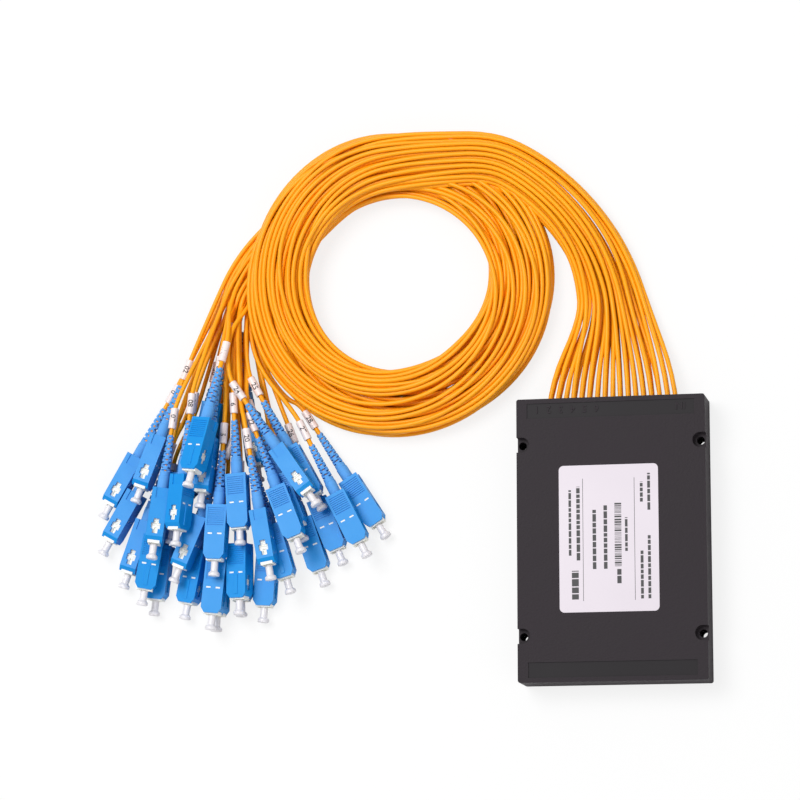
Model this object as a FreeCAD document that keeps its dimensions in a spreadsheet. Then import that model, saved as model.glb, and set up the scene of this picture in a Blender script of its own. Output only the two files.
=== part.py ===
"""Planar lightwave fibre splitter: a flat plastic box with one input and 32 output pigtails.

Frame: the box lies flat, origin at the centre of its underside, +X across its width, +Y along its
length towards the end where the cords leave, +Z up. Millimetres and degrees throughout.
"""
import FreeCAD, Part
import math
import os
from collections import namedtuple

import Sketcher

Vector = FreeCAD.Vector
UP = Vector(0, 0, 1)

# alias, value, what it is
SIZES = [
    ("box_width", 80, "box, X"),
    ("box_length", 120, "box, Y"),
    ("box_height", 18, "box, Z"),
    ("box_wall", 2, "side walls, floor and roof of both shells"),
    ("box_corner", 1, "radius of the box's upright edges"),
    ("seam_height", 9, "where the lid meets the base"),
    ("mount_edge", 2.2, "mounting hole to the long side"),
    ("mount_spacing", 81, "mounting holes, along Y"),
    ("mount_hole", 3.4, "mounting hole diameter"),
    ("recess_radius", 3.2, "round end of the screw head recess"),
    ("recess_depth", 3.5, "screw head recess below the roof"),
    ("post_wall", 1.6, "material round the screw head recess"),
    ("strip_depth", 0.4, "number strips below the roof"),
    ("strip_width", 6.4, "number strips, Y"),
    ("strip_length", 71, "number strips, X"),
    ("strip_edge", 2, "number strips to the box's end"),
    ("label_width", 42, "label, X"),
    ("label_length", 62, "label, Y"),
    ("label_thickness", 0.15, "label"),
    ("label_corner", 2, "label corner radius"),
    ("label_shift", -1, "label centre, X"),
    ("cord_size", 2, "pigtail outer diameter"),
    ("lane_pitch", 3.43, "one comb slot to the next"),
    ("lane_count", 17, "comb slots"),
    ("row_pitch", 2.05, "the two cords in a slot"),
    ("slot_play", 0.05, "comb slot to cord, each side"),
    ("comb_depth", 5, "comb, Y"),
    ("comb_floor", 1.2, "comb below its slots"),
    ("comb_end", 2.5, "comb beyond its last slots"),
    ("fit_gap", 0.05, "clearance round a seated piece"),
    ("fan_depth", 12, "fan-out block, Y"),
    ("fan_standoff", 10, "fan-out block to the comb's outer face"),
    ("module_length", 50, "splitter module case, Y"),
    ("module_width", 7, "splitter module case, X"),
    ("module_height", 4, "splitter module case, Z"),
    ("module_wall", 0.5, "splitter module case"),
    ("plug_gap", 3, "end plug of the module case, Y"),
    ("chip_length", 18, "waveguide chip, Y"),
    ("chip_width", 4.6, "waveguide chip, X"),
    ("chip_height", 1.5, "waveguide chip, Z"),
    ("block_length", 6, "fibre blocks glued to the chip, Y"),
    ("pad_height", 0.8, "glue pad under chip and blocks"),
    ("ribbon_thickness", 0.3, "output fibre ribbon"),
    ("ribbon_width", 4, "output fibre ribbon, X"),
    ("ribbon_length", 14, "ribbon between module and fan-out block"),
    ("fibre_size", 0.9, "buffered input fibre"),
    ("sleeve_length", 23.5, "connector sleeve along its axis"),
    ("sleeve_width", 9, "connector sleeve, broad side"),
    ("sleeve_height", 7.4, "connector sleeve, narrow side"),
    ("nose_length", 3, "chamfer at the sleeve's front corners, along"),
    ("nose_width", 1.9, "chamfer at the sleeve's front corners, across"),
    ("window_length", 6.5, "window in the sleeve's narrow sides"),
    ("window_height", 3, "window in the sleeve's narrow sides"),
    ("window_front", 3.4, "window to the sleeve's front"),
    ("key_length", 8.5, "key bar on one broad side"),
    ("key_width", 1.8, "key bar"),
    ("key_height", 0.5, "key bar above the sleeve"),
    ("key_front", 1.6, "key bar to the sleeve's front"),
    ("frame_width", 6.8, "plug frame, broad side"),
    ("frame_height", 5.2, "plug frame, narrow side"),
    ("frame_proud", 0.6, "plug frame in front of the sleeve"),
    ("sleeve_play", 0.05, "sleeve to plug frame, each side"),
    ("boot_insert", 1.5, "boot inside the sleeve"),
    ("boot_collar", 6, "boot's straight end behind the sleeve"),
    ("boot_length", 24, "boot behind the sleeve"),
    ("boot_size", 5, "boot's thick end, across flats"),
    ("boot_tip", 2.9, "boot's thin end, across flats"),
    ("ferrule_size", 2.5, "ferrule"),
    ("ferrule_reach", 5.3, "ferrule in front of the plug frame"),
    ("cap_neck", 3.1, "dust cap, outside"),
    ("cap_head", 4.9, "dust cap's head"),
    ("cap_length", 6.6, "dust cap along its axis"),
    ("cap_head_length", 1.5, "straight rim of the cap's head"),
    ("cap_flare", 0.8, "taper between neck and head"),
    ("cap_play", 0.04, "dust cap to ferrule, each side"),
    ("marker_size", 3.4, "number sleeve on the cord, across flats"),
    ("marker_length", 9, "number sleeve on the cord"),
    ("marker_play", 0.38, "number sleeve to cord, each side"),
    ("marker_gap", 3, "number sleeve behind the boot"),
    ("coil_x", -93.3, "centre of the coil"),
    ("coil_y", 114.9, "centre of the coil"),
    ("coil_inner", 39.5, "radius inside the coil"),
    ("coil_outer", 67, "radius outside the coil"),
    ("coil_height", 11.5, "coil above the table"),
    ("coil_shoulder", 3, "coil's rounded shoulders"),
    ("bundle_pitch", 2.05, "cord to cord where they run as a bundle"),
    ("bundle_shoulder", 0.6, "bundle's shoulders, outside its outermost cords"),
]

# Connectors: centre of the sleeve, heading of its nose about Z, nose-down pitch, roll about its axis.
Plug = namedtuple("Plug", "name x y z heading pitch roll via", defaults=((),))
INPUT_PLUG = Plug("in", -175.3, 42.8, 30.6, -102, -10, 20)
OUTPUT_PLUGS = [
    Plug("01", -215.7, 32.6, 4.6, -120, 0, 90),
    Plug("02", -201.1, 38.8, 13.8, -110, -4, 90),
    Plug("03", -215.6, 16.6, 4.6, -120, 0, 90),
    Plug("04", -209.3, 3.2, 4.6, -109, 0, 90, ((-174, 100, 3.4), (-188, 57, 7.4))),
    Plug("05", -201.5, -4.6, 12.6, -100, 0, -12, ((-175, 99, 7.2), (-187, 66, 12.6))),
    Plug("06", -199.5, -8.0, 3.8, -97, 0, 180, ((-174, 98, 1.4), (-184, 60, 4))),
    Plug("07", -195.2, 14.0, 22.4, -97, -5, 80),
    Plug("08", -185.2, 19.5, 23.6, -95, -3, -70),
    Plug("09", -189.5, 22.0, 12.2, -99, 0, 0),
    Plug("10", -174.8, 35.9, 20.7, -97, -2, 90),
    Plug("11", -183.1, 3.7, 14.0, -113, 0, 90, ((-165.8, 92, 8.3), (-166.4, 70, 11.4))),
    Plug("12", -184.2, -10.2, 4.6, -101, 0, 12, ((-169, 97, 4.2), (-171.3, 80, 5.4))),
    Plug("13", -172.5, -15.5, 11.4, -96, 0, 180, ((-168, 96, 7.2), (-168, 50, 9.6))),
    Plug("14", -173.2, -15.4, 3.8, -92, 0, 180, ((-168.5, 97, 1.5), (-170.2, 84, 2))),
    Plug("15", -170.0, 6.6, 19.4, -93, -2, 180, ((-167.4, 100, 15.6), (-167.3, 68, 16.3))),
    Plug("16", -160.5, 19.7, 19.8, -86, -3, 180),
    Plug("17", -161.6, -9.3, 12.2, -90, 0, 12, ((-164.6, 90, 10.8), (-163.5, 58, 10.4))),
    Plug("18", -163.0, -9.2, 3.8, -89, 0, 180, ((-167.4, 94, 3.5),)),
    Plug("19", -151.8, -11.9, 3.8, -94, 0, 180),
    Plug("20", -148.9, 4.0, 20.8, -80, 0, 90, ((-163.2, 97, 15.6), (-160.6, 63, 17.2))),
    Plug("21", -144.6, -1.3, 11.6, -73, 0, 0, ((-163.6, 97, 8.4), (-161.5, 62, 11))),
    Plug("22", -139.3, 14.3, 20.0, -68, -4, 180),
    Plug("23", -131.9, 2.3, 3.8, -71, 0, 180),
    Plug("24", -136.0, 32.2, 22.4, -55, -2, 90, ((-165.6, 94, 19.2),)),
    Plug("25", -134.4, 32.9, 11.8, -61, 0, 0),
    Plug("26", -124.9, 10.9, 3.8, -68, 0, 180, ((-159.6, 98, 1.4), (-152, 78, 1.8))),
    Plug("27", -114.2, 12.4, 11.6, -63, 0, 180, ((-159.6, 99, 7.4), (-155.5, 80, 8.4))),
    Plug("28", -109.3, 20.5, 3.8, -57, 0, 180, ((-159.8, 100, 5.3), (-153.5, 80, 5.4), (-143.5, 66, 3.6))),
    Plug("29", -157.8, 49.0, 4.6, -82, 0, 90),
    Plug("30", -185.2, 37.0, 3.8, -103, 0, 0),
    Plug("31", -140.5, 20.5, 11.8, -68, 0, 0, ((-161.8, 97, 7), (-160.6, 77, 7.8))),
    Plug("32", -175.9, 52.5, 12.0, -101, 0, 0, ((-167.2, 105.6, 8.9),)),
]

# The bundle of cords from the box to the coil, and from the coil to the connectors: centre of the
# section, its width across and its height. Cords run singly up to the first and from the last.
BOX_BUNDLE = [
    (Vector(1.0, 107, 0), 36.2, 5.2),
    (Vector(-11.8, 133.8, 0), 25, 7.2),
    (Vector(-24.6, 152.0, 0), 21, 10.5),
    (Vector(-37.2, 160.8, 0), 20, 13.5),
    (Vector(-52, 168, 0), 21, 15.5),
    (Vector(-76, 168.5, 0), 22, 16),
    (Vector(-93.5, 168.2, 0), 22, 15),
]
PLUG_BUNDLE = [
    (Vector(-143, 139, 0), 20, 9.8),
    (Vector(-154, 129, 0), 19, 11),
    (Vector(-161, 120, 0), 17, 12.2),
    (Vector(-166, 110.5, 0), 15.8, 12.9),
]
# Cords where they leave the coil, in layers from the table up: connectors served, cords on top of
# each other, and height of the lowest a little further on.
PLUG_LAYERS = [(13, 2, 1.4), (11, 2, 7.2), (9, 2, 15.5)]
RISE_SHARE = 0.2  # of the way to a connector, along which its cord comes to its layer's height
BOX_TURN = 18  # run of each cord from the comb's outer face to its turn
TAIL_REACH = 50  # from a connector's middle back to its cord's free part
PLUG_TURN = 14  # straight run of each cord behind its boot
FIBRE_TURN = 10  # reach of the bare fibre's bend inside the box
TUBE_SIDES = 4  # flats round a cord's plain stand-in
TURN_FLAT = 8  # degrees of a cord's turn made as one straight length
FEW_SIDES = 6  # flats round the repeated connectors' round pieces
MANY_SIDES = 16  # flats round the input connector's round pieces
COIL_SIDES = 30  # straight lengths round the coil
TURN_SHARE = 0.45  # of the shorter of two runs, taken by the turn between them
FLATTEST_SHOULDER = 0.3  # of a bundle's height
LIFT = 0.6  # of a cord's size, from the table to the middle of the lowest cords


def make_sheet(doc):
    """The driving dimensions, one alias each."""
    sheet = doc.addObject("Spreadsheet::Sheet", "Sizes")
    for row, (alias, value, note) in enumerate(SIZES, start=1):
        sheet.set(f"A{row}", note)
        sheet.set(f"B{row}", str(value))
        sheet.setAlias(f"B{row}", alias)
    doc.recompute()
    return sheet


def bind(target, **expressions):
    """Ties properties of an object to the sheet; a double underscore stands for a dot."""
    for name, expression in expressions.items():
        target.setExpression(name.replace("__", "."), expression)


def make_body(doc, label):
    body = doc.addObject("PartDesign::Body", label)
    body.Label = label
    return body


def plane_of(body, role):
    return next(item for item in body.Origin.OriginFeatures if item.Role == role)


def sketch_on(body, name, role, level):
    sketch = body.newObject("Sketcher::SketchObject", name)
    sketch.AttachmentSupport = [(plane_of(body, role), "")]
    sketch.MapMode = "FlatFace"
    sketch.setExpression("AttachmentOffset.Base.z", level)
    return sketch


def polygon_sketch(body, name, role, level, corners):
    """A closed outline whose corners are pairs of expressions, measured from the sketch's origin."""
    sketch = sketch_on(body, name, role, level)
    count = len(corners)
    spots = [[float(sketch.evalExpression(text)) for text in corner] for corner in corners]
    points = [Vector(across, along, 0) for across, along in spots]
    for index in range(count):
        sketch.addGeometry(Part.LineSegment(points[index], points[(index + 1) % count]), False)
    for index in range(count):
        sketch.addConstraint(Sketcher.Constraint("Coincident", index, 2, (index + 1) % count, 1))
    for index, corner in enumerate(corners):
        for kind, text, value in zip(("DistanceX", "DistanceY"), corner, spots[index]):
            number = sketch.addConstraint(Sketcher.Constraint(kind, -1, 1, index, 1, value))
            sketch.renameConstraint(number, f"{kind}{index}")
            sketch.setExpression(f"Constraints.{kind}{index}", text)
    return sketch


def rectangle_sketch(body, name, role, level, width, height, middle=("0", "0")):
    """A rectangle of two expressions about a middle point of two more."""
    signs = ((-1, -1), (1, -1), (1, 1), (-1, 1))
    corners = [
        (f"{middle[0]} + {across} * ({width}) / 2", f"{middle[1]} + {along} * ({height}) / 2")
        for across, along in signs
    ]
    return polygon_sketch(body, name, role, level, corners)


def circles_sketch(body, name, level, radius, spots):
    """Equal circles on the XY plane at spots that are pairs of expressions."""
    sketch = sketch_on(body, name, "XY_Plane", level)
    size = float(sketch.evalExpression(radius))
    for index, spot in enumerate(spots):
        middle = [float(sketch.evalExpression(text)) for text in spot]
        sketch.addGeometry(Part.Circle(Vector(*middle, 0), UP, size), False)
        for kind, text, value in zip(("DistanceX", "DistanceY"), spot, middle):
            number = sketch.addConstraint(Sketcher.Constraint(kind, -1, 1, index, 3, value))
            sketch.renameConstraint(number, f"{kind}{index}")
            sketch.setExpression(f"Constraints.{kind}{index}", text)
        number = sketch.addConstraint(Sketcher.Constraint("Radius", index, size))
        sketch.renameConstraint(number, f"Radius{index}")
        sketch.setExpression(f"Constraints.Radius{index}", radius)
    return sketch


def pad(body, sketch, length):
    feature = body.newObject("PartDesign::Pad", sketch.Name + "Pad")
    feature.Profile = sketch
    feature.setExpression("Length", length)
    body.Document.recompute()
    return feature


def pocket(body, sketch, length, upward=False):
    """Cuts against the sketch's normal, or along it when upward; it has to take something away."""
    body.Document.recompute()
    before = body.Shape.Volume
    feature = body.newObject("PartDesign::Pocket", sketch.Name + "Pocket")
    feature.Profile = sketch
    feature.Reversed = upward
    feature.setExpression("Length", length)
    body.Document.recompute()
    if body.Shape.Volume >= before:
        raise RuntimeError(f"{feature.Name} cuts nothing")
    return feature


def mount_spots():
    return [
        (f"{side} * (Sizes.box_width / 2 - Sizes.mount_edge)", f"{end} * Sizes.mount_spacing / 2")
        for side in (-1, 1)
        for end in (-1, 1)
    ]


def round_upright_edges(body, radius):
    """Fillets the outermost upright edges of a body that starts as a block."""
    doc = body.Document
    doc.recompute()
    block = body.Tip
    box = block.Shape.BoundBox
    names = []
    for index, edge in enumerate(block.Shape.Edges, start=1):
        first, last = edge.Vertexes[0].Point, edge.Vertexes[-1].Point
        upright = abs(first.x - last.x) < 1e-6 and abs(first.y - last.y) < 1e-6
        outer = abs(abs(first.x - box.Center.x) - box.XLength / 2) < 1e-6
        if upright and outer and abs(abs(first.y - box.Center.y) - box.YLength / 2) < 1e-6:
            names.append(f"Edge{index}")
    fillet = body.newObject("PartDesign::Fillet", body.Label + "_corners")
    fillet.Base = (block, names)
    fillet.setExpression("Radius", radius)
    doc.recompute()
    return fillet


COMB_WIDTH = "((Sizes.lane_count - 1) * Sizes.lane_pitch + 2 * Sizes.comb_end)"
SLOT_WIDTH = "(Sizes.cord_size + 2 * Sizes.slot_play)"
SLOT_FLOOR = "(Sizes.seam_height - Sizes.row_pitch / 2 - Sizes.cord_size / 2 - Sizes.slot_play)"
COMB_BOTTOM = f"({SLOT_FLOOR} - Sizes.comb_floor)"
COMB_TOP = f"(2 * Sizes.seam_height - {COMB_BOTTOM})"
COMB_MIDDLE = "(Sizes.box_length / 2 - Sizes.comb_depth / 2)"
POST_WIDTH = "(Sizes.mount_edge + Sizes.recess_radius + Sizes.post_wall)"
POST_LENGTH = "(2 * Sizes.recess_radius + 2 * Sizes.post_wall)"


def add_posts(body, name, level, height):
    """Four posts against the long sides, round the mounting holes."""
    for index, (_, along) in enumerate(mount_spots()):
        side = -1 if index < 2 else 1
        middle = (f"{side} * (Sizes.box_width / 2 - {POST_WIDTH} / 2)", along)
        post = rectangle_sketch(
            body, f"{name}{index}", "XY_Plane", level, POST_WIDTH, POST_LENGTH, middle
        )
        pad(body, post, height)


def make_box_base(doc):
    """Lower shell: floor, walls, four posts with through holes and the comb's lower notch."""
    body = make_body(doc, "box_base")
    block = rectangle_sketch(
        body, "BaseBlock", "XY_Plane", "0", "Sizes.box_width", "Sizes.box_length"
    )
    pad(body, block, "Sizes.seam_height")
    round_upright_edges(body, "Sizes.box_corner")
    inside = rectangle_sketch(
        body, "BaseInside", "XY_Plane", "Sizes.seam_height",
        "Sizes.box_width - 2 * Sizes.box_wall", "Sizes.box_length - 2 * Sizes.box_wall",
    )
    pocket(body, inside, "Sizes.seam_height - Sizes.box_wall")
    add_posts(body, "BasePost", "Sizes.box_wall", "Sizes.seam_height - Sizes.box_wall")
    notch = rectangle_sketch(
        body, "BaseNotch", "XY_Plane", "Sizes.seam_height",
        f"{COMB_WIDTH} + 2 * Sizes.fit_gap", "Sizes.comb_depth", ("0", COMB_MIDDLE),
    )
    pocket(body, notch, f"Sizes.seam_height - {COMB_BOTTOM}")
    holes = circles_sketch(
        body, "BaseHoles", "Sizes.seam_height", "Sizes.mount_hole / 2", mount_spots()
    )
    pocket(body, holes, "Sizes.seam_height")
    return body


def make_box_lid(doc):
    """Upper shell: roof, walls, posts sunk for screw heads, number strips and the comb's notch."""
    body = make_body(doc, "box_lid")
    block = rectangle_sketch(
        body, "LidBlock", "XY_Plane", "Sizes.seam_height", "Sizes.box_width", "Sizes.box_length"
    )
    pad(body, block, "Sizes.box_height - Sizes.seam_height")
    round_upright_edges(body, "Sizes.box_corner")
    inside = rectangle_sketch(
        body, "LidInside", "XY_Plane", "Sizes.seam_height",
        "Sizes.box_width - 2 * Sizes.box_wall", "Sizes.box_length - 2 * Sizes.box_wall",
    )
    pocket(body, inside, "Sizes.box_height - Sizes.seam_height - Sizes.box_wall", upward=True)
    add_posts(
        body, "LidPost", "Sizes.seam_height",
        "Sizes.box_height - Sizes.seam_height - Sizes.recess_depth / 2",
    )
    notch = rectangle_sketch(
        body, "LidNotch", "XY_Plane", "Sizes.seam_height",
        f"{COMB_WIDTH} + 2 * Sizes.fit_gap", "Sizes.comb_depth", ("0", COMB_MIDDLE),
    )
    pocket(body, notch, f"{COMB_TOP} - Sizes.seam_height", upward=True)
    rounds = circles_sketch(
        body, "RecessRounds", "Sizes.box_height", "Sizes.recess_radius", mount_spots()
    )
    pocket(body, rounds, "Sizes.recess_depth")
    for index, (_, along) in enumerate(mount_spots()):
        side = -1 if index < 2 else 1
        middle = (f"{side} * (Sizes.box_width / 2 - Sizes.mount_edge / 2)", along)
        mouth = rectangle_sketch(
            body, f"RecessMouth{index}", "XY_Plane", "Sizes.box_height",
            "Sizes.mount_edge", "2 * Sizes.recess_radius", middle,
        )
        pocket(body, mouth, "Sizes.recess_depth")
    holes = circles_sketch(
        body, "LidHoles", "Sizes.box_height", "Sizes.mount_hole / 2", mount_spots()
    )
    pocket(body, holes, "Sizes.box_height - Sizes.seam_height")
    strip_middle = "(Sizes.box_length / 2 - Sizes.strip_edge - Sizes.strip_width / 2)"
    for name, end in (("CordStrip", 1), ("PlainStrip", -1)):
        strip = rectangle_sketch(
            body, name, "XY_Plane", "Sizes.box_height",
            "Sizes.strip_length", "Sizes.strip_width", ("0", f"{end} * {strip_middle}"),
        )
        pocket(body, strip, "Sizes.strip_depth")
    return body


def make_label(doc):
    """Printed film on the lid, with rounded corners."""
    body = make_body(doc, "label_sticker")
    film = rectangle_sketch(
        body, "LabelFilm", "XY_Plane", "Sizes.box_height",
        "Sizes.label_width", "Sizes.label_length", ("Sizes.label_shift", "0"),
    )
    pad(body, film, "Sizes.label_thickness")
    round_upright_edges(body, "Sizes.label_corner")
    return body


def make_comb(doc):
    """Strip clamped between the shells: a slot for every two cords, open upwards."""
    body = make_body(doc, "cord_comb")
    block = rectangle_sketch(
        body, "CombBlock", "XY_Plane", COMB_BOTTOM, COMB_WIDTH, "Sizes.comb_depth",
        ("0", COMB_MIDDLE),
    )
    pad(body, block, f"{COMB_TOP} - {COMB_BOTTOM}")
    slot = rectangle_sketch(
        body, "CombSlot", "XY_Plane", COMB_TOP, SLOT_WIDTH, "Sizes.comb_depth",
        ("-(Sizes.lane_count - 1) * Sizes.lane_pitch / 2", COMB_MIDDLE),
    )
    first = pocket(body, slot, f"{COMB_TOP} - {SLOT_FLOOR}")
    rest = body.newObject("PartDesign::LinearPattern", "CombSlots")
    rest.Originals = [first]
    rest.Direction = (slot, ["H_Axis"])
    bind(
        rest,
        Length="(Sizes.lane_count - 1) * Sizes.lane_pitch",
        Occurrences="Sizes.lane_count",
    )
    body.Tip = rest
    return body


def make_block(doc, label, size, corner):
    """A plain block; size and corner are three expressions each."""
    block = doc.addObject("Part::Box", label)
    block.Label = label
    bind(block, Length=size[0], Width=size[1], Height=size[2])
    bind(block, Placement__Base__x=corner[0], Placement__Base__y=corner[1],
         Placement__Base__z=corner[2])
    return block


def make_module(doc):
    """The splitter proper: a flat metal tube with the waveguide chip between two fibre blocks."""
    start = "(Sizes.box_length / 2 - Sizes.fan_standoff - Sizes.fan_depth - Sizes.ribbon_length)"
    rear = f"({start} - Sizes.module_length)"
    outer = make_block(
        doc, "ModuleOuter", ("Sizes.module_width", "Sizes.module_length", "Sizes.module_height"),
        ("-Sizes.module_width / 2", rear, "Sizes.box_wall"),
    )
    inner_width = "(Sizes.module_width - 2 * Sizes.module_wall)"
    inner_height = "(Sizes.module_height - 2 * Sizes.module_wall)"
    inner_floor = "(Sizes.box_wall + Sizes.module_wall)"
    inner = make_block(
        doc, "ModuleInner", (inner_width, "Sizes.module_length", inner_height),
        (f"-{inner_width} / 2", rear, inner_floor),
    )
    case = doc.addObject("Part::Cut", "module_case")
    case.Label = "module_case"
    case.Base, case.Tool = outer, inner
    plug_size = (inner_width, "Sizes.plug_gap", inner_height)
    pieces = [
        case,
        make_block(doc, "module_input_plug", plug_size,
                   (f"-{inner_width} / 2", rear, inner_floor)),
        make_block(doc, "module_output_plug", plug_size,
                   (f"-{inner_width} / 2", f"{start} - Sizes.plug_gap", inner_floor)),
    ]
    middle = f"({start} - Sizes.module_length / 2)"
    train = "(Sizes.chip_length + 2 * Sizes.block_length)"
    pieces.append(make_block(
        doc, "chip_pad", ("Sizes.chip_width", train, "Sizes.pad_height"),
        ("-Sizes.chip_width / 2", f"{middle} - {train} / 2", inner_floor),
    ))
    chip_floor = f"({inner_floor} + Sizes.pad_height)"
    chip_rear = f"({middle} - Sizes.chip_length / 2)"
    for label, length, along in (
        ("input_fibre_block", "Sizes.block_length", f"{chip_rear} - Sizes.block_length"),
        ("waveguide_chip", "Sizes.chip_length", chip_rear),
        ("output_fibre_block", "Sizes.block_length", f"{chip_rear} + Sizes.chip_length"),
    ):
        pieces.append(make_block(
            doc, label, ("Sizes.chip_width", length, "Sizes.chip_height"),
            ("-Sizes.chip_width / 2", along, chip_floor),
        ))
    return pieces


def make_fan_out(doc):
    """Block where the ribbon's fibres become pigtails, and the ribbon that feeds it."""
    rear = "(Sizes.box_length / 2 - Sizes.fan_standoff - Sizes.fan_depth)"
    block = make_block(
        doc, "fan_out_block",
        (COMB_WIDTH, "Sizes.fan_depth", f"{COMB_TOP} - Sizes.comb_floor - Sizes.box_wall"),
        (f"-{COMB_WIDTH} / 2", rear, "Sizes.box_wall"),
    )
    ribbon = make_block(
        doc, "fibre_ribbon",
        ("Sizes.ribbon_width", "Sizes.ribbon_length", "Sizes.ribbon_thickness"),
        ("-Sizes.ribbon_width / 2", f"{rear} - Sizes.ribbon_length",
         "Sizes.box_wall + Sizes.module_height / 2 - Sizes.ribbon_thickness / 2"),
    )
    return [block, ribbon]


def rounded_path(points):
    """Straight runs joined by tangent arcs, each as large as its two runs allow."""
    edges = []
    radii = []
    start = points[0]
    for before, corner, after in zip(points, points[1:], points[2:]):
        back, ahead = before - corner, after - corner
        cut = TURN_SHARE * min(back.Length, ahead.Length)
        half_turn = (math.pi - back.getAngle(ahead)) / 2
        radius = cut / math.tan(half_turn)
        back.normalize()
        ahead.normalize()
        inward = (back + ahead).normalize()
        first, last = corner + back * cut, corner + ahead * cut
        middle = corner + inward * (radius / math.cos(half_turn) - radius)
        edges.append(Part.LineSegment(start, first).toShape())
        edges.append(Part.Arc(first, middle, last).toShape())
        radii.append(radius)
        start = last
    edges.append(Part.LineSegment(start, points[-1]).toShape())
    return Part.Wire(edges), radii


def polygon_corners(centre, direction, radius, sides):
    """Corners of a regular polygon square to a direction, with one of its flats level on top."""
    normal = Vector(direction).normalize()
    level = UP.cross(normal).normalize()
    upright = normal.cross(level)
    turns = [2 * math.pi * (index + 0.5) / sides for index in range(sides)]
    return [
        centre + (level * math.sin(turn) + upright * math.cos(turn)) * radius for turn in turns
    ]


def closed(corners):
    return Part.makePolygon(corners + corners[:1])


def skin(sections, ring=False):
    """Solid of flat faces between sections with equally many corners; a ring joins up with itself."""
    faces = []
    pairs = list(zip(sections, sections[1:]))
    if ring:
        pairs.append((sections[-1], sections[0]))
    else:
        faces = [Part.Face(closed(sections[0])), Part.Face(closed(sections[-1]))]
    count = len(sections[0])
    for near, far in pairs:
        for index in range(count):
            after = (index + 1) % count
            side = [near[index], near[after], far[after], far[index]]
            if abs((side[1] - side[0]).cross(side[3] - side[0]).dot(side[2] - side[0])) < 1e-9:
                faces.append(Part.Face(closed(side)))
            else:
                faces.append(Part.Face(closed([side[0], side[1], side[2]])))
                faces.append(Part.Face(closed([side[0], side[2], side[3]])))
    return solid_of(faces)


def solid_of(faces):
    shell = Part.makeShell(faces)
    shell.sewShape()
    solid = Part.makeSolid(shell)
    if solid.Volume < 0:
        solid.reverse()
    return solid


def tube(points, diameter, joined=None):
    """One cord along its route: a polygon of the round section's area, its volume compared.

    Where it joins other cords, its start lies in their end face, square to joined.
    """
    path, radii = rounded_path(points)
    ahead = (points[1] - points[0]).normalize()
    wedge = 2 * math.pi / TUBE_SIDES
    radius = diameter / 2 * math.sqrt(wedge / math.sin(wedge))
    corners = polygon_corners(points[0], ahead, radius, TUBE_SIDES)
    expected = Part.Face(closed(corners)).Area * path.Length
    sections = [slid_onto_face(corners, points[0], ahead, joined or ahead)]
    for edge in path.Edges:
        if isinstance(edge.Curve, Part.Line):
            step = edge.valueAt(edge.LastParameter) - edge.valueAt(edge.FirstParameter)
            corners = [corner + step for corner in corners]
            sections.append(corners)
        else:
            turn = math.degrees(edge.LastParameter - edge.FirstParameter)
            flats = math.ceil(turn / TURN_FLAT)
            rotation = FreeCAD.Rotation(edge.Curve.Axis, turn / flats)
            centre = edge.Curve.Center
            for _ in range(flats):
                corners = [centre + rotation.multVec(corner - centre) for corner in corners]
                sections.append(corners)
    solid = skin(sections)
    if not solid.isValid() or abs(solid.Volume / expected - 1) > 0.02:
        raise RuntimeError(f"cord from {points[0]} is {solid.Volume} of {expected}")
    return solid, radii


def slid_onto_face(corners, start, ahead, normal):
    """Corners moved along the cord into the face, square to normal, that the cord leaves."""
    slope = ahead.dot(normal)
    if slope <= 0:
        raise RuntimeError(f"cord from {start} turns back into the cords that it leaves")
    return [corner - ahead * ((corner - start).dot(normal) / slope) for corner in corners]


def make_feature(doc, label, shape):
    feature = doc.addObject("Part::Feature", label)
    feature.Label = label
    feature.Shape = shape
    feature.Placement = FreeCAD.Placement()
    return feature


def make_input_fibre(doc, sheet):
    """Buffered fibre from the module's input end, turned round to the fan-out block."""
    start = (
        sheet.box_length / 2 - sheet.fan_standoff - sheet.fan_depth - sheet.ribbon_length
        - sheet.module_length
    )
    lane = (sheet.lane_count - 1) * sheet.lane_pitch / 2
    level = sheet.box_wall + sheet.module_height / 2
    points = [
        Vector(0, start, level),
        Vector(0, start - FIBRE_TURN, level),
        Vector(lane / 2, start - 2 * FIBRE_TURN, level),
        Vector(lane, start - FIBRE_TURN, level),
        Vector(lane, sheet.box_length / 2 - sheet.fan_standoff - sheet.fan_depth, level),
    ]
    solid, _ = tube(points, sheet.fibre_size)
    return make_feature(doc, "input_fibre", solid)


def make_rod(doc, name, sides, stations):
    """A polygonal rod along X; stations pair where a section stands with its size across flats."""
    sections = []
    for along, size in stations:
        radius = size / 2 / math.cos(math.pi / sides)
        sections.append(polygon_corners(Vector(along, 0, 0), Vector(1, 0, 0), radius, sides))
    return make_feature(doc, name, skin(sections))


def cut(doc, name, base, tool):
    feature = doc.addObject("Part::Cut", name)
    feature.Base, feature.Tool = base, tool
    return feature


HALF_SLEEVE = "Sizes.sleeve_length / 2"
FRAME_FRONT = "(Sizes.sleeve_length / 2 + Sizes.frame_proud)"
FRAME_REAR = "(Sizes.boot_insert - Sizes.sleeve_length / 2)"


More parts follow.
